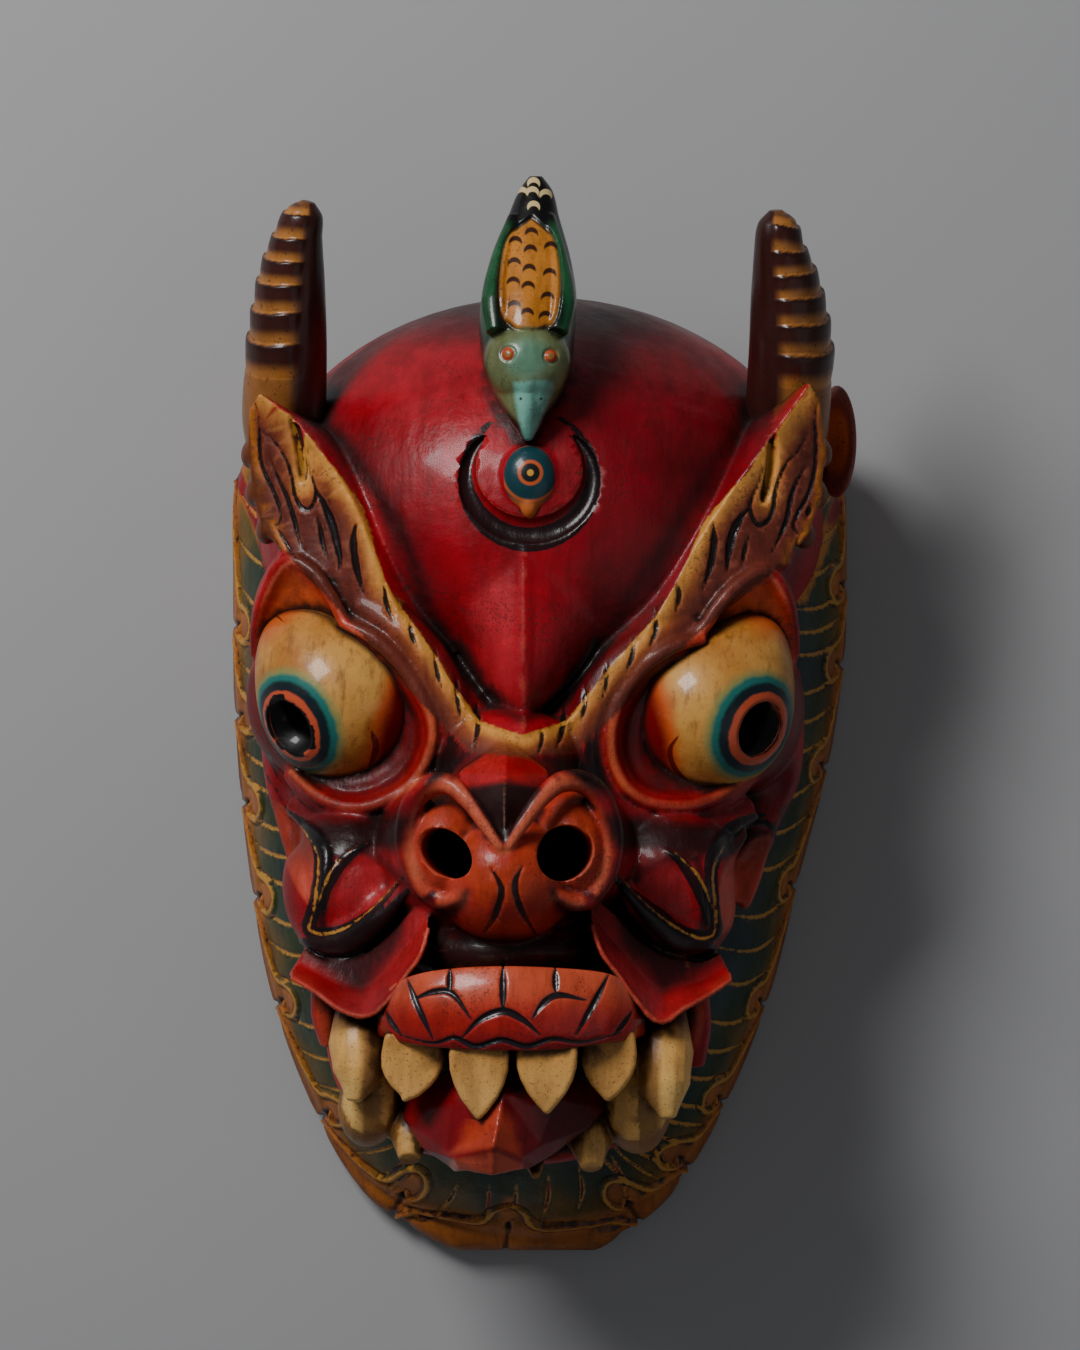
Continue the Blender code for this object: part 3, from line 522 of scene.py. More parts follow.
def cheeks():
    """The full cheeks and the rolls beside the mouth."""
    return [
        ball((-84, -98, 136), (36, 40, 38), (0, -14, 0)),
        ball((58, -98, 136), (36, 40, 38), (0, 14, 0)),
        strand(LEFT_ROLL, [4, 5, 6, 8, 8, 5]),
        strand(RIGHT_ROLL, [4, 5, 6, 8, 8, 5]),
        strand(LEFT_FLANK, [10, 14, 15, 13, 11, 9]),
        strand(RIGHT_FLANK, [10, 13, 14, 12, 10, 8]),
    ]


# Each lip wing: (upper edge), (lower edge), from beside the nose to the outer corner
LEFT_WING = (
    ((-50, -102, 190), (-52, -118, 202)),
    ((-60, -110, 186), (-56, -131, 204)),
    ((-66, -117, 182), (-63, -141, 203)),
    ((-73, -124, 178), (-71, -152, 202)),
    ((-81, -130, 174), (-80, -159, 198)),
    ((-90, -133, 169), (-92, -157, 191)),
    ((-100, -133, 164), (-105, -148, 181)),
    ((-110, -128, 158), (-117, -141, 171)),
)
RIGHT_WING = (
    ((22, -102, 190), (24, -116, 202)),
    ((33, -110, 186), (29, -130, 204)),
    ((40, -117, 182), (37, -141, 203)),
    ((47, -124, 178), (45, -152, 202)),
    ((56, -130, 174), (56, -162, 198)),
    ((66, -133, 169), (67, -156, 191)),
    ((76, -134, 164), (78, -150, 181)),
    ((84, -130, 158), (90, -142, 171)),
)


def wing(rows, steps=40, deep=110.0):
    """A flared plate whose upper edge lies back against the cheek and whose lower edge is a rounded lip."""
    stations = [(i, *upper, *lower) for i, (upper, lower) in enumerate(rows)]
    rings = []
    for i in range(steps + 1):
        line = between(stations, (len(rows) - 1) * i / steps)
        upper, lower = line[0:3], line[3:6]
        middle = [(a + b) / 2 for a, b in zip(upper, lower)]
        middle[2] -= 5.0
        rings.append([place(*upper), place(*middle), place(lower[0], lower[1] + 2, lower[2] - 0.5),
                      place(lower[0], lower[1], lower[2] - 3), place(lower[0], lower[1] + 1, lower[2] - 12),
                      place(middle[0], middle[1], deep), place(upper[0], upper[1], deep)])
    return loft(rings)


def lip_wings():
    """The flared corners of the upper lip, and the lip's bed under the nose."""
    edges = [strand([row[1] for row in rows], [1.2] + [1.4] * (len(rows) - 2) + [1.1])
             for rows in (LEFT_WING, RIGHT_WING)]
    return [wing(LEFT_WING), wing(RIGHT_WING), ball((-14, -126, 150), (50, 20, 56))] + edges


def jaw():
    """The rim of the lower jaw and the plates at the mouth's corners."""
    rim = ((-92, -150, 132), (-90, -176, 138), (-82, -198, 142), (-64, -212, 145), (-38, -220, 147),
           (-4, -222, 147), (24, -217, 145), (44, -207, 143), (58, -190, 140), (66, -168, 136),
           (66, -150, 132))
    under = tuple((across * 0.98, up + 5, out - 18) for across, up, out in rim)
    plates = [
        strand(((-99, -142, 150), (-99, -158, 152), (-97, -172, 148)), [8, 8, 6]),
        strand(((71, -146, 150), (72, -164, 152), (71, -182, 148)), [8, 8, 6]),
    ]
    return [strand(rim, [6] + [6.5] * 9 + [6]), strand(under, [10] + [12] * 9 + [10])] + plates


# Where the mane's edge is pinched between two scallops, as the place up each side, and the one under the chin
LEFT_PINCHES = (22.0, -21.0, -58.0, -104.0, -155.0, -204.0, -247.0)
RIGHT_PINCHES = (40.0, 3.0, -45.0, -97.0, -153.0, -197.0, -229.0, -252.0)
CHIN_PINCH = (-16.0, CHIN)
# How far the band stands up from the rim's plane, and where the face is cut off behind the mane
BAND_TOP = 27.0
FACE_FOOT = 34.0


def mane_line(out, inward, pinch=3.0, steps=90):
    """The mane's edge from the left shoulder round the chin to the right one."""
    line = []
    for side, pinches in ((-1, LEFT_PINCHES), (1, RIGHT_PINCHES)):
        part = []
        for i in range(steps + 1):
            up = SHOULDER + (CHIN + inward - SHOULDER) * math.sin(math.pi / 2 * i / steps)
            left, right = between(FACE_BLOCK, up)[:2]
            half = (left if side < 0 else right) - inward
            near = min(abs(up - pinch_up) for pinch_up in pinches)
            half -= pinch * math.exp(-((near / 3.0) ** 2))
            part.append((side * max(half, 2.0), up, out))
        line += part if side < 0 else part[::-1]
    return line


def mane():
    """The scalloped band round the sides and the chin."""
    line = mane_line(9.0, 8.0)
    return [strand(line, [9.0] * len(line), 1)]


def crescent_cut():
    """The crescent sunk round the eye in the forehead."""
    points, radii, steps = [], [], 16
    for i in range(steps + 1):
        angle = math.radians(135 + 270 * i / steps)
        across, up = -5 + 29 * math.cos(angle), 93 + 26 * math.sin(angle)
        radius = 1.5 + 5.5 * math.sin(math.pi * i / steps)
        points.append((across, up, dome_top(across, up) + radius * 0.35))
        radii.append(radius)
    return joined("crescent", [strand(points, radii)])


def drill(name, mouth, end, radii):
    """A straight hole, oval in section, from a mouth on the face to an end in the hollow."""
    start, stop = place(*mouth), place(*end)
    along = stop - start
    piece = shape(bpy.ops.mesh.primitive_cylinder_add, vertices=48, radius=MM, depth=along.length)
    turn = along.to_track_quat("Z", "Y").to_matrix().to_4x4()
    size = Matrix.Diagonal((radii[0], radii[1], 1.0, 1.0))
    piece.matrix_world = Matrix.Translation((start + stop) / 2) @ turn @ size
    return joined(name, [piece])


def face_holes():
    """The wearer looks out through both pupils and breathes through both nostrils."""
    return [
        drill("pupil_left", (*LEFT_GAZE, 190), (-92, -12, 70), (PUPIL_RADIUS + 4, PUPIL_RADIUS + 4)),
        drill("pupil_right", (*RIGHT_GAZE, 190), (80, -14, 70), (PUPIL_RADIUS + 3, PUPIL_RADIUS + 3)),
        drill("nostril_left", (-46, -83, 245), (-34, -84, 100), (9.8, 13.8)),
        drill("nostril_right", (13, -83, 245), (4, -84, 100), (12, 13.4)),
    ]


def level_box(high, deep):
    """A block wider than the mask, from a height down, that cuts it level."""
    box = shape(bpy.ops.mesh.primitive_cube_add, size=1.0, location=(0.0, 0.0, (high - deep / 2) * MM))
    box.scale = (0.6, 0.8, deep * MM)
    return joined("level_box", [box])


def hollow(wall):
    """The room for the wearer's face, a wall's thickness inside the mask."""
    room = merged("hollow", [face_block(wall, 30.0)] + dome(wall), 4.0, smooth=3)
    thinned(room, 6000)
    return room


# Reading and moving the skin


class Skin:
    """A mesh's points read as arrays, for carving and painting."""

    def __init__(self, piece):
        self.piece = piece
        mesh = piece.data
        count = len(mesh.vertices)
        flat = np.empty(count * 3, np.float32)
        mesh.vertices.foreach_get("co", flat)
        self.points = flat.reshape(-1, 3).astype(np.float64)
        mesh.vertices.foreach_get("normal", flat)
        self.normals = flat.reshape(-1, 3).astype(np.float64)
        edges = np.empty(len(mesh.edges) * 2, np.int32)
        mesh.edges.foreach_get("vertices", edges)
        self.edges = edges.reshape(-1, 2)
        self.across, self.up, self.out = seen(self.points)
        self.x, self.y = self.across, self.up

    def move(self, lengths):
        """Moves every point along its normal by a length in millimetres."""
        self.points += self.normals * (lengths * MM)[:, None]
        self.piece.data.vertices.foreach_set("co", self.points.astype(np.float32).ravel())
        self.piece.data.update()

    def spread(self, values, times):
        """The values averaged with their neighbours' this many times."""
        first, second = self.edges[:, 0], self.edges[:, 1]
        count = len(self.points)
        share = np.bincount(first, minlength=count) + np.bincount(second, minlength=count)
        share = np.maximum(share, 1)
        columns = values if values.ndim == 2 else values[:, None]
        for _ in range(times):
            mixed = np.empty_like(columns)
            for k in range(columns.shape[1]):
                total = np.bincount(first, columns[second, k], count)
                mixed[:, k] = (total + np.bincount(second, columns[first, k], count)) / share
            columns = columns * 0.4 + mixed * 0.6
        return columns if values.ndim == 2 else columns[:, 0]

    def hollowness(self, times):
        """How far each point lies below its surroundings, in millimetres."""
        around = self.spread(self.points, times)
        return ((around - self.points) * self.normals).sum(1) / MM

    def colour(self, name, values):
        """Keeps a colour at every point."""
        layer = self.piece.data.color_attributes.new(name, "FLOAT_COLOR", "POINT")
        full = np.ones((len(values), 4), np.float32)
        full[:, :3] = np.clip(values, 0.0, 1.0)
        layer.data.foreach_set("color", full.ravel())

    def value(self, name, values):
        """Keeps a number at every point."""
        layer = self.piece.data.attributes.new(name, "FLOAT", "POINT")
        layer.data.foreach_set("value", np.asarray(values, np.float32))


def ease(values, low, high):
    """0 below low, 1 above high, and smooth between them."""
    t = np.clip((values - low) / (high - low), 0.0, 1.0)
    return t * t * (3 - 2 * t)


def fade(values, low, high):
    """1 below low, 0 above high, and smooth between them."""
    return 1 - ease(values, low, high)


def gap_to(skin, points, steps=6, reach=20.0):
    """Each point's distance to a flowing line, and how far along the line its nearest place is."""
    line = flowing(points, steps) if steps else np.array(points, float)
    best = np.full(len(skin.x), OUT_OF_REACH)
    along = np.zeros(len(best))
    low, high = line.min(0) - reach, line.max(0) + reach
    near = (skin.x > low[0]) & (skin.x < high[0]) & (skin.y > low[1]) & (skin.y < high[1])
    x, y = skin.x[near], skin.y[near]
    nearest, part = np.full(len(x), OUT_OF_REACH), np.zeros(len(x))
    for i in range(len(line) - 1):
        ax, ay = line[i]
        dx, dy = line[i + 1] - line[i]
        t = np.clip(((x - ax) * dx + (y - ay) * dy) / max(dx * dx + dy * dy, 1e-9), 0.0, 1.0)
        gap = np.hypot(x - ax - t * dx, y - ay - t * dy)
        closer = gap < nearest
        nearest[closer] = gap[closer]
        part[closer] = (i + t[closer]) / (len(line) - 1)
    best[near], along[near] = nearest, part
    return best, along


def stroke(skin, points, width, taper=0.25):
    """How far each point is outside a brush stroke that narrows to both ends."""
    gap, along = gap_to(skin, points)
    body = np.minimum(1.0, np.minimum(along, 1.0 - along) * 2.2 + taper)
    return gap - width * body


def gap_to_lines(skin, *lines, steps=6):
    """Each point's distance to the nearest of several flowing lines."""
    return np.minimum.reduce([gap_to(skin, [point[:2] for point in line], steps)[0] for line in lines])


def strokes(skin, lines):
    """How far each point is outside the nearest of several brush strokes."""
    best = np.full(len(skin.x), FAR)
    for points, width in lines:
        best = np.minimum(best, stroke(skin, points, width))
    return best


def inside(skin, outline, steps=6):
    """How far each point is outside a closed outline, and below zero inside it."""
    loop = list(outline) + [outline[0]]
    line = flowing(loop, steps) if steps else np.array(loop, float)
    gap = gap_to(skin, line, 0)[0]
    x, y = skin.x, skin.y
    odd = np.zeros(len(x), bool)
    for (ax, ay), (bx, by) in zip(line, line[1:]):
        crosses = (ay > y) != (by > y)
        odd ^= crosses & (x < (bx - ax) * (y - ay) / (by - ay if by != ay else 1e-9) + ax)
    return np.where(odd, -gap, gap)


def tint(colours, paint, weight):
    """Lays a paint over the colours, as strongly as the weight says."""
    return colours + (np.array(paint) - colours) * np.clip(weight, 0.0, 1.0)[:, None]


def tints(colours, *layers):
    """Lays several paints over the colours, one after another."""
    for paint, weight in layers:
        colours = tint(colours, paint, weight)
    return colours


def coat(paint, count):
    """One paint at every point."""
    return np.tile(np.array(paint), (count, 1))


# The carved and inked lines: (points across and up, half width)
LEFT_BROW_INK = (
    (((-133, 127), (-131.5, 120), (-131, 113), (-131, 106), (-130, 98), (-125.5, 88), (-122.5, 81),
      (-121, 75), (-121.8, 71), (-124, 70.5)), 0.9),
    (((-130, 114), (-125, 110), (-121, 105), (-117.5, 98), (-115.4, 89.5), (-114.3, 83.5), (-111.3, 78.3),
      (-107.6, 77.5), (-105.4, 81.3), (-104.8, 86.5), (-106.5, 92.4), (-108.4, 99.9), (-108.3, 107)), 0.9),
    (((-126, 101), (-122.5, 92.4), (-119.2, 85.7), (-116.6, 78.3), (-114.3, 70.8), (-112.8, 64),
     (-110, 58)), 1.1),
    (((-124, 70.5), (-120.3, 65), (-117.3, 59.7), (-114.3, 55)), 0.8),
    (((-104.6, 86.5), (-101.7, 81.3), (-98.7, 74.6), (-96.5, 68.6), (-95, 62), (-93.5, 54.4),
     (-93.5, 48)), 1.9),
    (((-104.3, 74.6), (-102.8, 68.6), (-101.3, 61), (-99.4, 54.4)), 1.1),
    (((-85.7, 71), (-87, 65), (-86.8, 56.7), (-85, 47), (-82.3, 38)), 1.7),
    (((-72.8, 42), (-72.3, 36), (-70, 28.4)), 1.0),
)
RIGHT_BROW_INK = (
    (((129.6, 128), (128.5, 119.6), (128.9, 108.2), (128.5, 97), (125.8, 85.5), (120.5, 75.6),
      (118.6, 69.5), (120.5, 66.1), (124, 67.6)), 0.9),
    (((121, 65.7), (119.8, 60.4), (117, 54)), 0.7),
    (((125.8, 113.5), (120.5, 104.4), (115.2, 99), (111.4, 90.8), (109.5, 83.2), (109.1, 78.6),
      (106.9, 72.5), (102.3, 69.9), (99.3, 73.3), (98.1, 78.6), (99.3, 83.2), (102.3, 90), (104.2, 97)), 1.0),
    (((124.3, 97.6), (119.8, 90), (117.1, 81.7), (115.2, 72.5), (112.2, 65), (108.4, 57.4)), 1.1),
    (((98.1, 78.6), (93.2, 72.5), (90.1, 65.7), (88.2, 57.4), (87.1, 48.2)), 1.9),
    (((97.7, 65.7), (95.8, 59), (94, 50)), 0.9),
    (((80.7, 72), (81.4, 62), (79.9, 52), (75.7, 39)), 1.6),
    (((64, 43), (65, 37.6), (63.6, 29.3)), 1.1),
    (((126.6, 79.4), (124.7, 74)), 1.2),
)
BRIDGE_TICKS = (
    (((-72.8, 44), (-72, 34), (-68, 24)), 1.1),
    (((-61, 27), (-60, 19), (-57, 12)), 1.1),
    (((-49, 12), (-48.5, 3), (-46, -6)), 1.1),
    (((-39, -1), (-38.5, -12), (-37, -20)), 1.1),
    (((-29.4, -13), (-29, -24), (-31, -34)), 1.2),
    (((0.5, -23), (1, -30), (-1, -37)), 0.9),
    (((10.7, -14), (10.5, -25), (8, -34)), 1.2),
    (((20.5, -4), (21, -13), (19, -22)), 1.1),
    (((31, 6), (31, -3), (29, -11)), 1.0),
    (((43.4, 18), (43, 9), (40, 1)), 1.1),
    (((54, 31), (54, 21), (51, 13)), 1.1),
)
BROW_INK = LEFT_BROW_INK + RIGHT_BROW_INK + BRIDGE_TICKS
# The grooves that part each brow's two flames
LEFT_FLAME_SPLIT = ((-115.6, 119), (-114, 112.5), (-112, 101.4), (-110.8, 92))
RIGHT_FLAME_SPLIT = ((109, 111), (108.6, 100), (107, 90), (105, 82))

LEFT_GOLD_EDGE = ((-133.7, 133), (-123.3, 124.5), (-116.2, 120.4), (-114, 112.5), (-111.7, 101.4),
                  (-110.6, 88), (-109.9, 100), (-109, 112), (-102.4, 103), (-93.5, 92.4), (-83, 77.5),
                  (-77.8, 58.2), (-72.6, 42.5), (-61.4, 25.4), (-49, 8), (-39, -8), (-29, -22), (-8, -29))
RIGHT_GOLD_EDGE = ((128.5, 139), (123.6, 129.5), (118.2, 123.4), (112.2, 114.3), (110, 109), (107, 90),
                   (105.5, 82), (106, 92), (106.9, 108), (102.3, 101.4), (97, 93), (90, 86.2), (79.5, 74),
                   (76.5, 69.5), (72.7, 60.4), (64.7, 43), (54, 26), (34, 4), (13, -22), (-8, -29))
LEFT_OUTER_EDGE = ((-133.7, 133), (-135.9, 123), (-134.8, 106.6), (-132.2, 92.4), (-127.7, 75.3), (-121, 60))
RIGHT_OUTER_EDGE = ((129, 138), (131.9, 127), (133.4, 112), (133.4, 100), (131.9, 94), (131, 80),
                    (127.4, 70.3), (122, 62), (116.7, 53))
# The brows' fronts: along the gold edge, back under the brow and up the outer edge
LEFT_FRONT = (LEFT_GOLD_EDGE[:-1] + ((-8, -29), (-8, -38), (-33, -36), (-62, -6), (-86, 22), (-112, 50))
              + LEFT_OUTER_EDGE[::-1][:-1])
RIGHT_FRONT = (RIGHT_GOLD_EDGE[:-1] + ((-8, -29), (-8, -38), (17, -36), (46, -8), (72, 18), (106, 46))
               + RIGHT_OUTER_EDGE[::-1][:-1])

CHEEK_INK = (
    (((-117, -64), (-107, -72), (-100.5, -82), (-100, -94), (-103, -106)), 3.1),
    (((-81, -79), (-89, -84.5), (-95, -91), (-99.5, -100), (-101, -112)), 2.9),
    (((-111, -124), (-99, -127.5), (-86, -124), (-72.5, -114.5), (-62, -101)), 6.0),
    (((105, -65), (96, -68), (87, -74), (79, -88), (80, -106)), 3.1),
    (((59, -82), (66, -87.5), (71.5, -95), (75.5, -105), (78, -117)), 2.9),
    (((81, -127), (66, -124), (54, -114), (36, -96)), 6.0),
    (((93, -73), (102, -69), (110, -72), (113, -79), (109, -88)), 1.5),
)
CHEEK_BEDS = (
    (((-112, -68), (-105, -79), (-103, -90), (-104.5, -106), (-108, -118), (-101, -121.5), (-90, -118.5),
      (-77, -109), (-64, -95)), 3.4),
    (((97, -69), (87, -79), (80.5, -91), (80.5, -108), (82, -119), (75, -122.5), (63, -118), (50, -108.5),
      (36, -94)), 3.4),
)
CHEEK_GOLD = (
    (((-112, -70), (-105, -81), (-103.5, -90), (-106, -112), (-108, -118.5), (-101, -121), (-90, -117.5),
      (-77, -107.5), (-65, -95)), 0.75),
    (((-85.5, -80), (-95.5, -88.5), (-100.5, -98), (-103.5, -107)), 0.6),
    (((63, -83), (72.5, -92), (77.5, -101), (80.5, -110)), 0.6),
    (((95, -70), (87, -79), (81, -91), (82, -110), (81.5, -120), (75, -123), (63, -117.5), (50, -107.5),
      (37, -94)), 0.75),
)
NOSE_INK = (
    (((-23, -90), (-18, -100), (-21, -112), (-27, -121)), 1.5),
    (((-8, -89), (-11.7, -97.6), (-9, -109), (-1.4, -122)), 1.5),
)
# The dark creases beside the nose
NOSE_CREASES = (
    (((-65, -88), (-60, -103), (-48, -111), (-38, -108), (-34, -101)), 2.2),
    (((36, -87), (31, -102), (20, -111.5), (10, -108), (6, -101)), 2.2),
)
DIAMOND = ((-17, -31), (-39, -46.5), (-17, -80), (6, -46))
DIAMOND_ARCH = ((-42, -49), (-32, -38), (-17, -28.5), (-2, -38), (9, -49))
MOUTH = ((-96, -150), (-90, -180), (-74, -202), (-48, -213), (-16, -217), (20, -212), (42, -202),
         (56, -184), (66, -150), (20, -138), (-60, -138))
EYE_CURLS = (
    (((-128, 16), (-121, 22), (-114, 19)), 0.8),
    (((-80, -24), (-76.6, -33.6), (-80.3, -44.4)), 1.5),
    (((65, -28), (60.7, -35), (63, -43.5), (71, -51.5)), 1.2),
    (((108, 17), (111, 20), (114, 17)), 0.6),
)
# The hollows on the outer side of the cheeks, and the leaves beside the mouth
SCOOP_LEFT = ((-127, -57), (-117, -63), (-110, -72), (-104.5, -88), (-106.5, -107), (-112, -103), (-119, -88))
SCOOP_RIGHT = ((84.8, -122), (83.5, -98), (89, -85.5), (99.6, -76.5), (109, -76), (110, -86), (104, -98),
               (93, -115))
LEAF_LEFT = ((-98, -84), (-82, -82), (-66, -94), (-64, -101), (-78, -112), (-92, -119), (-101, -118),
             (-102, -104))
LEAF_RIGHT = ((73, -86), (60, -85), (44, -95), (40, -101), (52, -112), (66, -120), (75, -120), (77, -104))
CHIN_HAIRS = (
    (((-57, -224), (-63, -233), (-71, -241)), 0.95), (((-38, -237), (-42, -245), (-48, -252)), 0.95),
    (((-24, -238), (-24, -246), (-24.5, -254)), 0.95), (((-11, -238), (-11.5, -246), (-12.5, -253)), 0.95),
    (((4, -234), (4, -243), (1.5, -253)), 0.95), (((18, -230), (20, -240), (18, -249)), 0.95),
    (((33, -224), (38, -234), (40, -243)), 0.95), (((48, -214), (55, -224), (61, -231)), 0.95),
)
HAIRS = (
    (((-131, -36), (-127, -48), (-121, -58)), 0.5), (((-128, -28), (-125, -42), (-119, -53)), 0.5),
    (((-133, -46), (-129, -56), (-124, -64)), 0.5), (((-124, -50), (-120, -60), (-115, -66)), 0.45),
    (((116, -58), (112, -66), (108, -72)), 0.5), (((119, -60), (116, -69), (112, -76)), 0.5),
    (((110, -60), (107, -66), (104, -71)), 0.45),
)


def carve_face(skin):
    """Cuts the brush-wide grooves, the flame splits and the folds into the face."""
    front = ease(skin.out, 110, 125)
    ink = strokes(skin, BROW_INK)
    depth = -1.5 * fade(ink, -0.9, 0.5) * front
    for split in (LEFT_FLAME_SPLIT, RIGHT_FLAME_SPLIT):
        depth -= 5.0 * fade(stroke(skin, split, 2.4, 0.7), -2.0, 0.8) * front
    for scoop in (SCOOP_LEFT, SCOOP_RIGHT):
        depth -= 3.0 * fade(inside(skin, scoop), -7, 0.5) * ease(skin.out, 70, 90)
    for leaf in (LEAF_LEFT, LEAF_RIGHT):
        depth -= 2.6 * fade(inside(skin, leaf), -7, 1) * front
    raised = strokes(skin, CHEEK_INK)
    depth += 1.5 * fade(raised, -2.2, 1.2) * front
    depth -= 0.9 * fade(strokes(skin, NOSE_INK), -0.5, 0.6) * ease(skin.out, 190, 200)
    ridge = gap_to(skin, ((-7, 58), (-8, 0), (-8, -26)))[0]
    depth += 1.6 * np.clip(1 - ridge / 5.0, 0, 1) * ease(skin.out, 150, 160) * fade(skin.y, 56, 62)
    skin.move(depth)


def flame_paint(inner, outer):
    """The brows' colours: gold towards the dome, brown across the front and ochre on the outer edge."""
    return tints(
        coat(srgb(112, 48, 36), len(inner)),
        (srgb(170, 88, 44), fade(inner, 3, 13)),
        (srgb(234, 160, 74), fade(inner, 1.5, 7.0)),
        (srgb(180, 104, 36), fade(outer, 1.5, 4.5)))


def paint_dome(skin, paint, front, inner, lobes):
    """The dome: bright red walls under the brows, dark at their feet, a painted sheen on the keel's left side
    and painted shade over the dome's right side.
    """
    u, v, z = skin.across, skin.up, skin.out
    feet = gap_to_lines(skin, [row[0] for row in LEFT_BROW], [row[0] for row in RIGHT_BROW])
    up_there = ease(v, -34, -26) * ease(z, 80, 100) * ~lobes
    wall = fade(inner, 3, 9) * ease(front, 0.0, 0.6) * ease(z, 134, 146)
    keel_sheen = fade(np.abs(u + 22), 4, 15) * ease(v, -24, -4) * fade(v, 34, 60) * (front > 0.5)
    right_dome_shade = ease(u, -4, 30) * up_there * (front > 0.5) * ease(v, -20, 10)
    return tints(
        paint,
        (srgb(112, 6, 18), fade(feet, 6, 26) * 0.6 * up_there),
        (MAROON, fade(feet, 0, 8) * 0.9 * up_there * ease(front, 0.2, 1.0)),
        (srgb(188, 12, 34), wall * 0.85),
        # painted sheen: pink on the left side of the keel
        (srgb(214, 48, 58), keel_sheen * ease(z, 150, 160) * 0.5),
        # painted shade: deep maroon over the dome's right side
        (srgb(84, 4, 14), right_dome_shade * 0.55),
        (srgb(34, 26, 28), ease(v, 146, 172) * 0.9))


def paint_socket(skin, paint, front, eye, lid_line, fold_line, hood_rows):
    """The folds, the lid and the hood round one eye, with painted shade under the lower fold and painted
    highlights along the lid's rim and the hood's crest.
    """
    u, v, z = skin.across, skin.up, skin.out
    near, below_brow = ease(z, 104, 118), front > 0.5
    lid, fold = gap_to_lines(skin, lid_line), gap_to_lines(skin, fold_line)
    within = np.hypot(u - eye[0], v - eye[1]) < np.hypot(lid_line[4][0] - eye[0], lid_line[4][1] - eye[1]) + 2
    feet, crests = [row[0][:2] for row in hood_rows], [row[1][:2] for row in hood_rows]
    on_leaf = fade(inside(skin, feet + crests[::-1], 4), -0.5, 1.0)
    crest = gap_to_lines(skin, crests)
    return tints(
        paint,
        (MAROON, fade(np.abs(fold - 2), 5, 14) * 0.75 * near * below_brow * (v < 34)),
        # painted shade: black under the lower fold
        (BLACK_AND_SHADE, fade(np.abs(fold - 4), 2, 9) * 0.95 * near * (v < -40) * (lid > 7)),
        (BLACK_AND_SHADE, fade(np.abs(lid - 9), 2, 5) * 0.85 * near * ~within * below_brow),
        (srgb(112, 12, 16), within * (lid > 2) * near),
        (srgb(176, 28, 26), fade(lid, 3.5, 6.0) * 0.9 * near),
        # painted highlight: pale orange along the lid's rim
        (srgb(222, 104, 62), fade(lid, 0.6, 2.6) * 0.8 * near),
        (srgb(176, 20, 26), fade(crest, 3, 9) * 0.9 * near * fade(-front, 0, 2)),
        (srgb(216, 92, 46), on_leaf * near),
        (srgb(196, 44, 32), on_leaf * fade(crest, 1.5, 8) * 0.8 * near),
        # painted highlight: a pale line along the hood's crest
        (srgb(222, 110, 84), fade(crest, 0.2, 1.4) * 0.8 * ease(z, 136, 150)))


def nose_gap(skin):
    """How far each point is from the nose's middle."""
    return np.hypot((skin.across + 15) / 1.1, skin.up + 84)


def paint_nose(skin, paint, front):
    """The bridge with painted shade over it, the nose with its nostrils' rims and painted highlights along
    them, and the diamond.
    """
    u, v, z = skin.across, skin.up, skin.out
    bridge = fade(np.abs(u + 15), 24, 44) * ease(-v, 34, 40) * fade(-v, 56, 66) * (front > 0.5)
    on_nose = fade(nose_gap(skin), 40, 48) * ease(z, 176, 190)
    rims = gap_to_lines(skin, LEFT_NOSTRIL_RIM, RIGHT_NOSTRIL_RIM)
    lobes = [fade(np.hypot((u - across) / 1.4, (v + 100) / 0.8), 5, 14) for across in (-46, 13)]
    on_diamond = fade(inside(skin, DIAMOND, 0), -1.0, 0.8) * ease(z, 168, 178)
    black = ease(-v - 0.16 * np.abs(u + 16.5), 47.5, 51.5)
    return tints(
        paint,
        # painted shade: dark over the bridge between the eye folds
        (srgb(30, 12, 12), bridge * ease(z, 120, 140) * 0.85),
        (srgb(186, 60, 32), on_nose),
        (srgb(150, 14, 22), on_nose * fade(v, -112, -100) * 0.6),
        (srgb(186, 40, 32), fade(rims, 3, 9) * on_nose * 0.8),
        # painted highlight: pale orange along the nostrils' rims
        (srgb(218, 108, 74), fade(rims, 1.4, 5.0) * on_nose * 0.85),
        (srgb(204, 66, 46), lobes[0] * on_nose * 0.7),
        (srgb(204, 66, 46), lobes[1] * on_nose * 0.7),
        (BLACK_AND_SHADE, fade(strokes(skin, NOSE_CREASES), -1.0, 3.0) * 0.85 * ease(z, 160, 175)),
        (srgb(192, 20, 30), on_diamond),
        (BLACK_AND_SHADE, on_diamond * black * 0.96),
        (srgb(120, 16, 24), fade(stroke(skin, DIAMOND_ARCH, 1.6), -0.6, 1.5) * 0.8 * ease(z, 160, 170)))


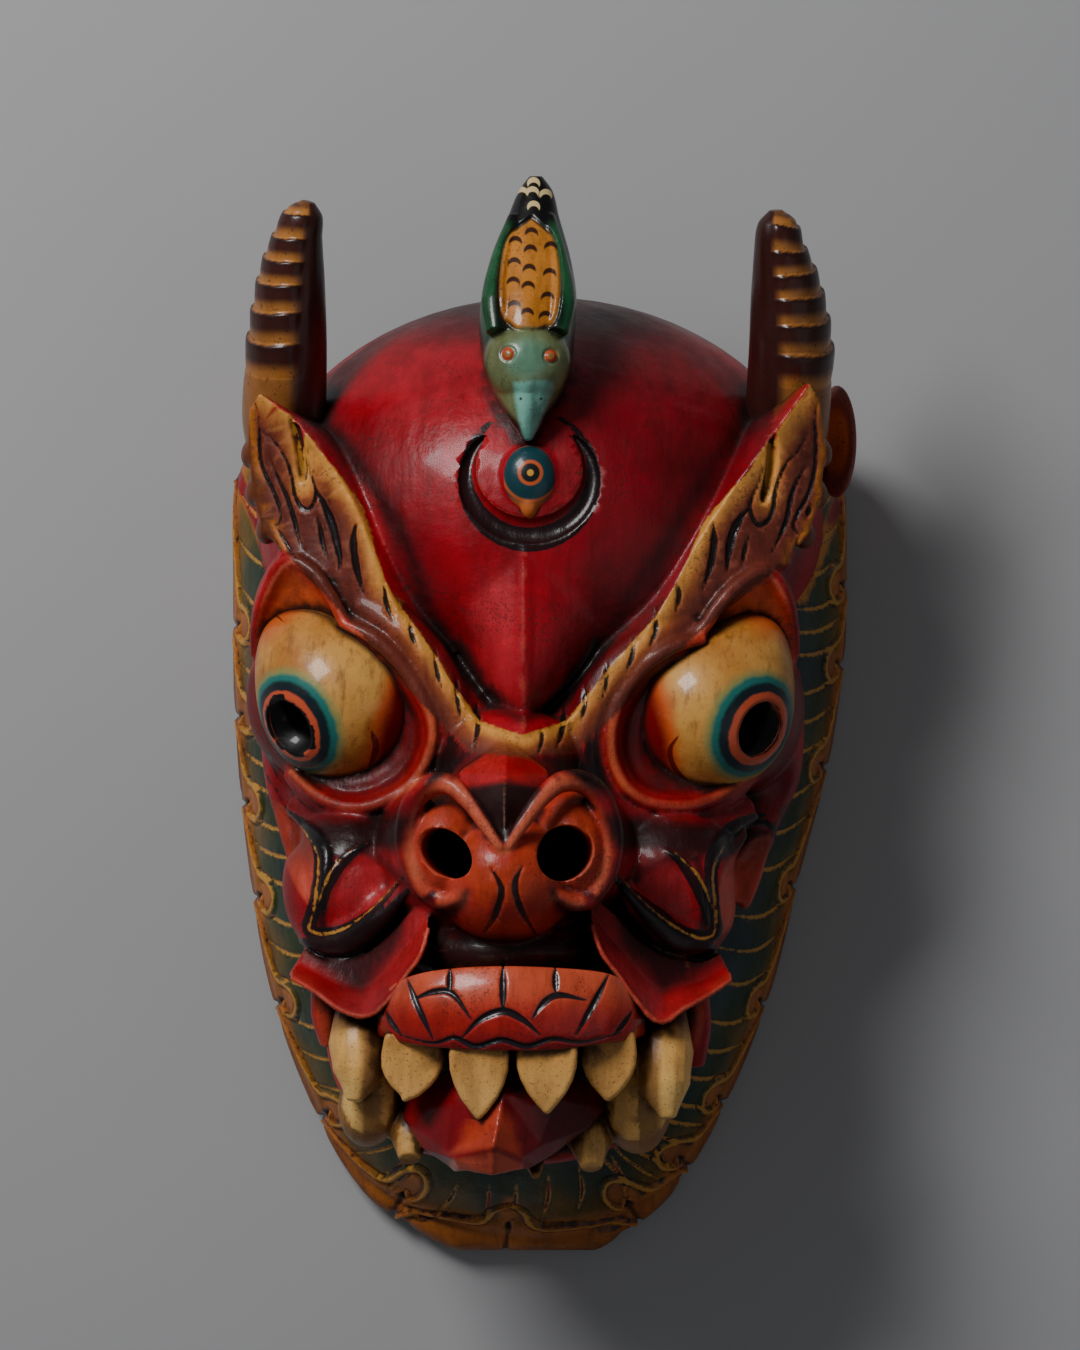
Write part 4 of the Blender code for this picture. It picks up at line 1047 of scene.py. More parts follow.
def paint_cheeks(skin, paint):
    """The cheeks with their leaves and hollows, painted shade under the eye folds, a painted highlight on each
    cheek, and the dark bed of the upper lip.
    """
    u, v, z = skin.across, skin.up, skin.out
    cheek = fade(v, -60, -50) * ease(v, -140, -132) * ease(z, 80, 96) * ease(nose_gap(skin), 41, 47)
    cheek_highlight = fade(np.hypot((np.abs(u + 14) - 68) / 1.3, v + 98), 6, 20) * cheek
    paint = tints(
        paint,
        (srgb(150, 10, 24), cheek * 0.7),
        # painted shade: a black band under the eye folds
        (srgb(20, 8, 10), cheek * 0.9 * fade(np.abs(v + 68 + 0.1 * np.abs(u + 16)), 4, 12)))
    for leaf in (LEAF_LEFT, LEAF_RIGHT):
        gap = inside(skin, leaf)
        paint = tints(
            paint,
            (srgb(178, 14, 30), fade(gap, -5, 0) * cheek),
            (srgb(24, 8, 12), fade(np.abs(gap), 0.8, 3.6) * cheek * 0.85))
    # painted highlight: pale red on the middle of each cheek
    paint = tint(paint, srgb(204, 52, 58), cheek_highlight * 0.45)
    for scoop in (SCOOP_LEFT, SCOOP_RIGHT):
        in_scoop = fade(inside(skin, scoop), -1.5, 0.6)
        paint = tints(
            paint,
            (srgb(206, 74, 52), in_scoop * ease(z, 60, 76)),
            (srgb(96, 22, 16), in_scoop * ease(v, -96, -78) * 0.55))
    bed = ease(v, -139, -136) * fade(v, -125, -117) * ease(u, -58, -50) * fade(u, 20, 28)
    return tint(paint, BLACK_AND_SHADE, bed * 0.92)


def paint_wing(skin, paint, rows):
    """One flared corner of the upper lip, with painted shadow over its upper part under the cheek's roll and a
    painted highlight along its lower edge.
    """
    z = skin.out
    uppers, lowers = [row[0][:2] for row in rows], [row[1][:2] for row in rows]
    lower = gap_to_lines(skin, lowers)
    on_wing = fade(inside(skin, uppers + lowers[::-1], 4), 0.5, 2.5) * ease(z, 146, 156)
    return tints(
        paint,
        (srgb(168, 20, 28), on_wing),
        # painted shadow: dark over the wing's upper part, under the cheek's roll
        (srgb(40, 7, 10), on_wing * ease(lower, 7, 15) * 0.92),
        # painted highlight: pale orange along the wing's lower edge
        (srgb(212, 88, 62), fade(lower, 0.2, 1.3) * ease(z, 150, 160) * 0.7),
        (srgb(196, 60, 46), fade(lower, 2, 5) * fade(z, 160, 190) * on_wing * 0.6))


def paint_mouth(skin, paint):
    """The mouth's dark room and the jaw's rim round it."""
    z = skin.out
    mouth = inside(skin, MOUTH, 4)
    rim = fade(np.abs(mouth - 4), 4, 8) * ease(z, 124, 132) * fade(z, 158, 164) * (skin.up < -142)
    return tints(
        paint,
        (srgb(38, 6, 8), fade(mouth, -2, 1) * fade(z, 150, 162)),
        (srgb(204, 74, 48), rim))


def draw_face_lines(skin, front, inner):
    """Keeps how far each point is from the face's black and gold lines."""
    u, v, z = skin.across, skin.up, skin.out
    ink = np.full(len(z), FAR)
    for above, lines in ((116, BROW_INK), (96, CHEEK_INK + CHEEK_BEDS), (70, HAIRS), (190, NOSE_INK)):
        ink = np.minimum(ink, np.where(z > above, strokes(skin, lines), FAR))
    crescent = np.maximum(np.hypot(u + 5, v - 91) - 33.5, 27.0 - np.hypot(u + 5, v - 96))
    skin.value("ink", np.minimum(ink, np.where((z > 150) & (v < 122), crescent, FAR)))
    gold = np.where((z > 140) & (front < 2.5), inner - 0.8, FAR)
    skin.value("gold", np.minimum(gold, np.where(z > 96, strokes(skin, CHEEK_GOLD), FAR)))


def paint_face(skin):
    """Paints every part of the face, with the brows over all the rest."""
    u, v, z = skin.across, skin.up, skin.out
    front = np.minimum(inside(skin, LEFT_FRONT, 0), inside(skin, RIGHT_FRONT, 0))
    inner = gap_to_lines(skin, LEFT_GOLD_EDGE, RIGHT_GOLD_EDGE, steps=0)
    outer = gap_to_lines(skin, LEFT_OUTER_EDGE, RIGHT_OUTER_EDGE)
    lobes = (np.abs(u + 3) > 112) & (v > 58) & (v < 142) & (z > 96)
    paint = tint(coat(srgb(172, 10, 30), len(z)), srgb(112, 56, 26), lobes.astype(float))
    paint = paint_dome(skin, paint, front, inner, lobes)
    paint = paint_socket(skin, paint, front, LEFT_EYE, LEFT_LID, LEFT_FOLD, LEFT_HOOD)
    paint = paint_socket(skin, paint, front, RIGHT_EYE, RIGHT_LID, RIGHT_FOLD, RIGHT_HOOD)
    paint = paint_nose(skin, paint, front)
    paint = paint_cheeks(skin, paint)
    paint = paint_wing(skin, paint, LEFT_WING)
    paint = paint_wing(skin, paint, RIGHT_WING)
    paint = paint_mouth(skin, paint)
    on_front = fade(front, -0.2, 0.6) * ease(z, 116, 126)
    paint = paint + (flame_paint(inner, outer) - paint) * on_front[:, None]
    inner_side = (z < 1) | (skin.normals[:, 2] < -0.35)
    skin.colour("paint", tint(paint, BARE_WOOD, (inner_side & (z < 125)).astype(float)))
    draw_face_lines(skin, front, inner)


class Rim:
    """The mane's rolled-out sheet: how far round the rim, and how high above it."""

    def __init__(self):
        line = np.array([point[:2] for point in mane_line(0.0, 0.0, 0.0)])
        self.line = line
        self.lengths = np.concatenate([[0.0], np.cumsum(np.hypot(*np.diff(line, axis=0).T))])

    def unroll(self, skin):
        """Lays the skin's points out on the sheet."""
        skin.x, skin.y = skin.across, skin.up
        along = gap_to(skin, self.line, 0, 90.0)[1]
        skin.x = np.interp(along * (len(self.line) - 1), np.arange(len(self.line)), self.lengths)
        skin.y = skin.out

    def length_at(self, across, up):
        """How far round the rim its nearest place to a point is."""
        return self.lengths[np.argmin(np.hypot(self.line[:, 0] - across, self.line[:, 1] - up))]

    def notches(self):
        """The notches' places round the rim, on the left, under the chin and on the right."""
        left = [self.length_at(-between(FACE_BLOCK, up)[0], up) for up in LEFT_PINCHES]
        right = [self.length_at(between(FACE_BLOCK, up)[1], up) for up in RIGHT_PINCHES]
        return left, self.length_at(*CHIN_PINCH), sorted(right)


def scallop(start, end, hooks=True):
    """The gold line of one scallop: from a notch along the edge, then round the next notch."""
    way = math.copysign(1.0, end - start)
    span = abs(end - start)
    if hooks:
        rows = ((1.5, 4), (4.0, 15), (span * 0.3, 24), (span * 0.55, 27), (span - 11, 31), (span - 7, 43),
                (span - 1, 51),
                (span + 5, 49), (span + 8.5, 40), (span + 7, 30), (span + 3, 27), (span + 0.5, 31))
    else:
        rows = ((1.5, 4), (5.0, 16), (span * 0.4, 24), (span - 14, 27), (span - 8, 36), (span, 41))
    return [(start + way * across, high) for across, high in rows]


def mane_lines(rim):
    """The gold scallops and the hairs that sweep from them towards the face."""
    left, chin, right = rim.notches()
    tops = [0.0] + left, [rim.lengths[-1]] + right[::-1]
    gold, hairs = [], []
    for stops in tops:
        stops = stops + [chin]
        for start, end in zip(stops, stops[1:]):
            span = end - start
            gold.append((scallop(start, end, hooks=end != chin), 1.35))
            if end == chin:
                continue
            for share in (0.12, 0.42, 0.72):
                foot = start + span * share
                sweep = ((0, 29), (0.1, 46), (0.2, 66), (0.24, 92))
                hairs.append(([(foot + span * part, high) for part, high in sweep], 0.95))
    return gold, hairs, left + [chin] + right


def mane_hair(skin, hairs):
    """How far each point is outside the hair lines, those of the chin being drawn as they are seen."""
    chin = strokes(Flat(skin.across, skin.up), CHIN_HAIRS)
    return np.minimum(strokes(skin, hairs), np.where(skin.up < -205, chin, FAR))


def carve_mane(skin, rim):
    """Lowers the hair between the face and the band, raises the gold line and drills the notches."""
    rim.unroll(skin)
    gold, hairs, notches = mane_lines(rim)
    line, hair = strokes(skin, gold), mane_hair(skin, hairs)
    outside = (skin.normals[:, 2] > -0.2) & (skin.out > 2)
    lift = 1.5 * fade(skin.y, BAND_TOP - 3, BAND_TOP + 5) + 1.3 * fade(line, -0.6, 0.9)
    lift -= 0.9 * fade(np.abs(line - 1.4), 0.0, 1.2)
    lift -= 1.0 * fade(hair, -0.8, 0.6)
    for notch in notches:
        dot = np.hypot(skin.x - notch, (skin.y - 26) * 0.8)
        lift -= 2.6 * fade(dot, 0.5, 3.2)
        slit = np.hypot(skin.x - notch, np.maximum(skin.y - 24, 0))
        lift -= 1.2 * fade(slit, 0.2, 2.2)
    skin.move(lift * outside * ease(skin.out, 2, 6))


def paint_mane(skin, rim):
    """Paints the band ochre, the hair teal, and the lines gold."""
    rim.unroll(skin)
    gold, hairs, notches = mane_lines(rim)
    u, v, z = skin.across, skin.up, skin.out
    teal, olive, ochre, brown = srgb(14, 50, 56), srgb(116, 86, 24), srgb(182, 106, 40), srgb(104, 50, 20)
    paint = coat(teal, len(z))
    ripple = 6 * np.sin(skin.x * 0.09) + 4 * np.sin(skin.x * 0.23 + 1)
    paint = tint(paint, srgb(52, 66, 36), fade(z, 52 + ripple, 84 + ripple))
    paint = tint(paint, olive, fade(z, 30 + ripple, 58 + ripple))
    paint = tint(paint, ochre, fade(z, 24, 34))
    paint = tint(paint, brown, 0.75 * fade(z, 6, 24))
    for notch in notches:
        paint = tint(paint, ochre, fade(np.hypot(skin.x - notch, (skin.y - 36) * 0.55), 5, 8))
        paint = tint(paint, srgb(20, 8, 6),
                     fade(np.hypot(skin.x - notch, (skin.y - 26) * 0.8), 1.5, 3.5) * 0.9)
        paint = tint(paint, srgb(28, 12, 8), fade(np.abs(skin.x - notch), 0.5, 1.8) * (z < 26) * 0.8)
    collar_left = gap_to(Flat(u, v), ((-141, 93), (-130, 66), (-122.5, 42)))[0]
    collar_right = gap_to(Flat(u, v), ((139, 80), (131, 58), (122, 36)))[0]
    for collar in (collar_left, collar_right):
        paint = tint(paint, srgb(190, 120, 36), fade(collar, 2.2, 3.6))
    paint = tint(paint, srgb(150, 16, 26), fade(collar_left, 1.8, 3.0) * ease(v, 64, 70))
    paint = tint(paint, srgb(150, 16, 26), fade(collar_right, 1.8, 3.0) * ease(v, 68, 73))
    inner_side = (z < 1) | (skin.normals[:, 2] < -0.2)
    paint = tint(paint, BARE_WOOD, inner_side.astype(float))
    skin.colour("paint", paint)
    outside = (skin.normals[:, 2] > -0.2) & (z > 2)
    line, hair = strokes(skin, gold), mane_hair(skin, hairs)
    skin.value("gold", np.where(outside, np.minimum(line, hair), FAR))
    skin.value("ink", np.where(outside, np.minimum(np.abs(line - 1.2) - 0.25, np.abs(hair - 1.1) - 0.3), FAR))


class Flat:
    """Points on a sheet, for measuring gaps alone."""

    def __init__(self, x, y):
        self.x, self.y = x, y


def shelter(pieces, rays=9, reach=0.024):
    """Keeps at every point how closed in it is by the forms round it: 0 in the open, 1 in a deep corner."""
    corners, faces = [], []
    for piece in pieces:
        start = len(corners)
        corners += [tuple(point.co) for point in piece.data.vertices]
        faces += [tuple(start + i for i in face.vertices) for face in piece.data.polygons]
    tree = BVHTree.FromPolygons(corners, faces)
    fan = []
    for i in range(rays):
        height = 1.0 - (i + 0.5) / rays * 0.92
        turn = i * GOLDEN_TURN
        flat = math.sqrt(1.0 - height * height)
        fan.append((flat * math.cos(turn), flat * math.sin(turn), height))
    for piece in pieces:
        skin = Skin(piece)
        closed = np.zeros(len(skin.points))
        for i, (point, normal) in enumerate(zip(skin.points, skin.normals)):
            base = Vector(normal)
            side = base.orthogonal().normalized()
            other = base.cross(side)
            start = Vector(point) + base * 0.0006
            met = 0.0
            for x, y, height in fan:
                distance = tree.ray_cast(start, side * x + other * y + base * height, reach)[3]
                if distance is not None:
                    met += 1.0 - distance / reach
            closed[i] = met
        skin.value("closed", skin.spread(closed / rays, 1))


# Materials


class Recipe:
    """A material's nodes, laid out one after another."""

    def __init__(self, name, roughness=0.35, coat=0.14, coat_roughness=0.12, specular=0.26):
        self.material = bpy.data.materials.new(name)
        self.material.use_nodes = True
        self.tree = self.material.node_tree
        self.shader = self.tree.nodes["Principled BSDF"]
        self.shader.inputs["Roughness"].default_value = roughness
        self.shader.inputs["Coat Weight"].default_value = coat
        self.shader.inputs["Coat Roughness"].default_value = coat_roughness
        self.shader.inputs["Specular IOR Level"].default_value = specular
        self.spot = self.node("ShaderNodeTexCoord").outputs["Object"]

    def node(self, kind, **settings):
        made = self.tree.nodes.new(kind)
        for key, value in settings.items():
            setattr(made, key, value)
        return made

    def feed(self, socket, source):
        """Joins a source to a socket, or sets the socket to a plain number or colour."""
        if isinstance(source, bpy.types.NodeSocket):
            self.tree.links.new(source, socket)
        elif isinstance(source, tuple) and len(source) == 3 and socket.type == "RGBA":
            socket.default_value = (*source, 1.0)
        else:
            socket.default_value = source

    def attribute(self, name, part="Fac"):
        return self.node("ShaderNodeAttribute", attribute_name=name).outputs[part]

    def noise(self, scale, detail=4.0, stretch=None, rough=0.55):
        """Noise over the piece, this many to the metre, drawn out by the stretch."""
        spot = self.spot
        if stretch:
            mapping = self.node("ShaderNodeMapping")
            self.feed(mapping.inputs["Vector"], spot)
            mapping.inputs["Scale"].default_value = stretch
            spot = mapping.outputs["Vector"]
        grain = self.node("ShaderNodeTexNoise")
        self.feed(grain.inputs["Vector"], spot)
        grain.inputs["Scale"].default_value = scale
        grain.inputs["Detail"].default_value = detail
        grain.inputs["Roughness"].default_value = rough
        return grain.outputs["Fac"]

    def grain(self, scale, detail, low, high):
        """Noise as a number that runs from low to high."""
        return self.remap(self.noise(scale, detail), 0.3, 0.7, low, high)

    def remap(self, value, low, high, to_low=0.0, to_high=1.0):
        """Takes a range of a value to another range, and stops at its ends."""
        change = self.node("ShaderNodeMapRange", interpolation_type="SMOOTHSTEP")
        self.feed(change.inputs["Value"], value)
        change.inputs["From Min"].default_value = low
        change.inputs["From Max"].default_value = high
        change.inputs["To Min"].default_value = to_low
        change.inputs["To Max"].default_value = to_high
        return change.outputs["Result"]

    def sum(self, first, second, operation="ADD"):
        join = self.node("ShaderNodeMath", operation=operation)
        self.feed(join.inputs[0], first)
        self.feed(join.inputs[1], second)
        return join.outputs[0]

    def mix(self, share, below, above, blend="MIX"):
        """Lays one colour over another."""
        layer = self.node("ShaderNodeMix", data_type="RGBA", blend_type=blend)
        self.feed(layer.inputs[0], share)
        self.feed(layer.inputs[6], below)
        self.feed(layer.inputs[7], above)
        return layer.outputs[2]

    def over(self, colour, paint, value, low, high, weak=0.0, strong=1.0):
        """Lays a paint over the colour, weak where the value is low and strong where it is high."""
        return self.mix(self.remap(value, low, high, weak, strong), colour, paint)

    def bump(self, heights):
        """Raises the surface by several (height, millimetres) layers."""
        normal = None
        for height, size in heights:
            relief = self.node("ShaderNodeBump")
            relief.inputs["Distance"].default_value = size * MM
            self.feed(relief.inputs["Height"], height)
            if normal is not None:
                self.feed(relief.inputs["Normal"], normal)
            normal = relief.outputs["Normal"]
        self.feed(self.shader.inputs["Normal"], normal)

    def finish(self, colour, roughness=None):
        self.feed(self.shader.inputs["Base Color"], colour)
        if roughness is not None:
            self.feed(self.shader.inputs["Roughness"], roughness)
        return self.material


def aged_and_shaded(recipe, colour, grime_and_shade=0.92, speckle=0.45):
    """Brush streaks, dark specks, patina and painted shade in the corners, and edge wear with painted
    highlights, over a paint.
    """
    darker = recipe.mix(1.0, colour, (0.36, 0.28, 0.28), "MULTIPLY")
    streaks = recipe.noise(85, 6, (1.0, 0.22, 0.6), 0.7)
    colour = recipe.over(colour, darker, streaks, 0.42, 0.7, 0.0, 0.55)
    lighter = recipe.mix(1.0, colour, (1.35, 1.25, 1.25), "MULTIPLY")
    brushed = recipe.noise(150, 5, (0.25, 1.0, 0.6), 0.7)
    colour = recipe.over(colour, lighter, brushed, 0.5, 0.7, 0.0, 0.6)
    patches = recipe.noise(17, 5)
    colour = recipe.over(colour, darker, patches, 0.46, 0.68, 0.0, 0.5)
    hairs = recipe.noise(240, 4, (1.0, 0.16, 0.5), 0.6)
    colour = recipe.over(colour, darker, hairs, 0.56, 0.7, 0.0, 0.35)
    specks = recipe.sum(recipe.noise(700, 2), recipe.remap(recipe.noise(30, 3), 0.35, 0.75, -0.1, 0.1))
    colour = recipe.mix(recipe.remap(specks, 0.6, 0.68, 0.0, speckle), colour, (0.018, 0.01, 0.008))
    # patina and painted shade: darker where the forms close a point in
    closed = recipe.sum(recipe.attribute("closed"), recipe.grain(120, 4, -0.07, 0.07))
    colour = recipe.mix(recipe.remap(closed, 0.16, 0.5, 0.0, grime_and_shade), colour, (0.014, 0.008, 0.007))
    # edge wear and painted highlight: lighter on the raised edges
    edge_wear_and_highlight = recipe.sum(recipe.attribute("edge"), recipe.grain(160, 4, -0.25, 0.25))
    rubbed_and_lit = recipe.mix(1.0, colour, (0.22, 0.08, 0.04), "ADD")
    return recipe.over(colour, rubbed_and_lit, edge_wear_and_highlight, 0.5, 1.1, 0.0, 0.4)


def face_paint(name, streak_axis=(1.0, 0.3, 0.6)):
    """Old paint on carved wood: airbrushed colour, black and gold lines, patina with painted shade in the
    corners, painted highlights on the edges, and varnish.
    """
    recipe = Recipe(name)
    colour = aged_and_shaded(recipe, recipe.attribute("paint", "Color"))
    wobble = recipe.grain(260, 3, -0.3, 0.3)
    gold = recipe.sum(recipe.attribute("gold"), wobble)
    colour = recipe.over(colour, srgb(206, 146, 58), gold, -0.4, 0.45, 0.85, 0.0)
    ink = recipe.sum(recipe.attribute("ink"), recipe.sum(wobble, 0.6, "MULTIPLY"))
    inked = recipe.remap(ink, -0.35, 0.35, 0.96, 0.0)
    over_gold = recipe.remap(gold, -0.4, 0.3, 0.15, 1.0)
    colour = recipe.mix(recipe.sum(inked, over_gold, "MULTIPLY"), colour, (0.007, 0.006, 0.007))
    rough = recipe.grain(40, 5, 0.34, 0.56)
    rough = recipe.sum(rough, recipe.sum(inked, -0.14, "MULTIPLY"))
    recipe.bump([(recipe.noise(70, 6, streak_axis), 1.1), (recipe.noise(24, 3), 1.4),
                 (recipe.noise(150, 4), 0.3), (recipe.noise(480, 3), 0.14)])
    return recipe.finish(colour, rough)


def eyeball_paint(name, ragged):
    """An eye: ochre glaze with brown specks, turquoise, slate and salmon rings round the pupil, and painted
    shade where the lids and hood close it in.
    """
    recipe = Recipe(name, coat=0.3, coat_roughness=0.12)
    ring, rim = recipe.attribute("ring"), recipe.attribute("rim")
    patches = recipe.noise(24, 5)
    colour = recipe.mix(recipe.remap(patches, 0.35, 0.68), srgb(222, 164, 82), srgb(178, 112, 44))
    strands = recipe.noise(200, 5, (1.0, 0.3, 0.6), 0.7)
    colour = recipe.over(colour, srgb(120, 70, 30), strands, 0.48, 0.7, 0.0, 0.6)
    specks = recipe.noise(520, 3)
    colour = recipe.over(colour, srgb(70, 38, 20), specks, 0.6, 0.72, 0.0, 0.3)
    rim = recipe.sum(rim, recipe.remap(patches, 0.3, 0.7, -0.12, 0.12))
    colour = recipe.over(colour, srgb(206, 86, 34), rim, 0.05, 0.75, 0.0, 1.0)
    colour = recipe.over(colour, srgb(120, 14, 16), rim, 0.55, 1.0, 0.0, 1.0)
    ring = recipe.sum(ring, recipe.grain(160, 3, -0.3, 0.3))
    torn = recipe.sum(ring, recipe.remap(recipe.noise(110, 4), 0.35, 0.65, -1.5, 1.5)) if ragged else ring
    colour = recipe.over(colour, srgb(96, 12, 12), recipe.attribute("curl"), -0.3, 0.4, 0.92, 0.0)
    for reach, edge, soft, paint in (
            (ring, 26.5, 2.4, srgb(132, 140, 84)), (ring, 24.4, 1.0, srgb(30, 112, 104)),
            (ring, 21.6, 0.9, srgb(20, 34, 40)), (ring, 17.6, 0.6, srgb(202, 84, 52)),
            (torn, 15.0 if ragged else 13.4, 0.5, srgb(9, 7, 8))):
        colour = recipe.over(colour, paint, reach, edge - soft, edge + soft, 1.0, 0.0)
    # painted shade: darker where the lids and hood close the eyeball in
    closed = recipe.attribute("closed")
    colour = recipe.over(colour, (0.016, 0.006, 0.005), closed, 0.22, 0.55, 0.0, 0.85)
    recipe.bump([(recipe.noise(50, 5), 0.6), (recipe.noise(420, 3), 0.12)])
    return recipe.finish(colour, recipe.grain(60, 4, 0.3, 0.5))


def tooth_paint():
    """Teeth in an old cream wash over wood, browned in the pores, and browner with painted shade where the
    forms close them in, as towards the gum.
    """
    recipe = Recipe("tooth_paint", coat=0.12, coat_roughness=0.25)
    colour = recipe.attribute("paint", "Color")
    patches = recipe.noise(34, 5)
    colour = recipe.over(colour, srgb(140, 88, 36), patches, 0.48, 0.7, 0.0, 0.5)
    streaks = recipe.noise(90, 6, (1.0, 0.2, 0.4), 0.6)
    colour = recipe.over(colour, srgb(128, 88, 48), streaks, 0.4, 0.7, 0.0, 0.5)
    specks = recipe.noise(900, 3)
    colour = recipe.over(colour, srgb(80, 46, 22), specks, 0.58, 0.7, 0.0, 0.6)
    # painted shade: browner where the forms close a tooth in, as under the gum
    closed = recipe.sum(recipe.attribute("closed"), recipe.grain(110, 4, -0.1, 0.1))
    colour = recipe.over(colour, srgb(44, 22, 12), closed, 0.12, 0.5, 0.0, 0.9)
    recipe.bump([(streaks, 0.6), (recipe.noise(34, 3), 0.8), (recipe.noise(300, 3), 0.15)])
    return recipe.finish(colour, recipe.grain(50, 4, 0.35, 0.55))


def gum_paint():
    """The gum and tongue: orange and red glaze with black grooves."""
    recipe = Recipe("gum_paint", coat=0.3, coat_roughness=0.14)
    colour = aged_and_shaded(recipe, recipe.attribute("paint", "Color"), 0.8, 0.5)
    ink = recipe.attribute("ink")
    colour = recipe.over(colour, (0.01, 0.01, 0.014), ink, -0.3, 0.35, 0.98, 0.0)
    recipe.bump([(recipe.noise(60, 5), 0.4), (recipe.noise(380, 3), 0.1)])
    return recipe.finish(colour, recipe.grain(50, 4, 0.25, 0.42))


def horn_paint():
    """Dark brown horn with ochre lips on its rings."""
    recipe = Recipe("horn_paint", coat=0.3, coat_roughness=0.16)
    colour = recipe.attribute("paint", "Color")
    streaks = recipe.noise(70, 6, (1.0, 0.3, 1.0), 0.65)
    colour = recipe.over(colour, recipe.mix(1.0, colour, (0.4, 0.33, 0.3), "MULTIPLY"), streaks, 0.35, 0.7,
                         0.0, 0.5)
    specks = recipe.noise(420, 2)
    colour = recipe.over(colour, (0.02, 0.012, 0.01), specks, 0.6, 0.7, 0.0, 0.6)
    recipe.bump([(streaks, 0.5), (recipe.noise(300, 3), 0.15)])
    return recipe.finish(colour, recipe.grain(50, 4, 0.28, 0.45))


def bird_paint():
    """The bird's green, amber and black paint."""
    recipe = Recipe("bird_paint", coat=0.35, coat_roughness=0.14)
    colour = aged_and_shaded(recipe, recipe.attribute("paint", "Color"), 0.8, 0.5)
    ink = recipe.attribute("ink")
    colour = recipe.over(colour, srgb(44, 20, 12), ink, -0.5, 0.25, 0.97, 0.0)
    cream = recipe.attribute("cream")
    colour = recipe.over(colour, srgb(222, 196, 140), cream, -0.2, 0.25, 0.95, 0.0)
    recipe.bump([(recipe.noise(90, 5), 0.4), (recipe.noise(420, 3), 0.1)])
    return recipe.finish(colour, recipe.grain(60, 4, 0.25, 0.42))


def dressed(piece, material, angle=None):
    """Gives a piece its one material and smooth shading, and sets it on the frame."""
    only(piece)
    piece.data.materials.clear()
    piece.data.materials.append(material)
    if angle is None:
        bpy.ops.object.shade_smooth()
    else:
        bpy.ops.object.shade_smooth_by_angle(angle=math.radians(angle))
    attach(piece, "root")
    return piece


# The pieces


# The face's outline where the mane passes under it
FACE_EDGE = (
    (-126, 100), (-120, 40), (-122, -20), (-116, -60), (-106, -90), (-96, -130), (-86, -160), (-82, -192),
    (-66, -206),
    (-40, -214), (-4, -216), (24, -211), (42, -200), (52, -180), (60, -150), (74, -120), (92, -90),
    (106, -50),
    (112, -10), (110, 40), (122, 100), (118, 150), (-118, 150))


def make_face():
    """The face and the dome, carved and painted."""
    soft = [face_block(1.2)] + dome() + forehead_keel() + cheeks() + eye_bed(LEFT_EYE) + eye_bed(RIGHT_EYE)
    soft = merged("soft_forms", soft, 2.2, smooth=5)
    forms = [soft] + third_eye() + brow(LEFT_BROW) + brow(RIGHT_BROW)
    forms += brow_scallops(LEFT_BROW, -1) + brow_scallops(RIGHT_BROW, 1)
    forms += eye_surround(LEFT_EYE, LEFT_LID, LEFT_FOLD, LEFT_HOOD)
    forms += eye_surround(RIGHT_EYE, RIGHT_LID, RIGHT_FOLD, RIGHT_HOOD)
    forms += nose() + lip_wings() + jaw()
    face = merged("mask_face", forms, FACE_GRAIN, smooth=2)
    cut(face, level_box(FACE_FOOT, 200.0))
    carve_face(Skin(face))
    thinned(face, FACE_FACES)
    for tool in [hollow(WALL - 0.5), crescent_cut()] + face_holes():
        cut(face, tool)
    return face


def make_mane(rim):
    """The mane: the block's sides with their scalloped band."""
    mane_piece = merged("mask_mane", [face_block()] + mane(), MANE_GRAIN, smooth=1)
    cut(mane_piece, joined("face_room", [slab(FACE_EDGE, 48.0, 260.0)]))
    carve_mane(Skin(mane_piece), rim)
    thinned(mane_piece, MANE_FACES)
    for tool in (hollow(WALL), level_box(0.0, 100.0)):
        cut(mane_piece, tool)
    return mane_piece


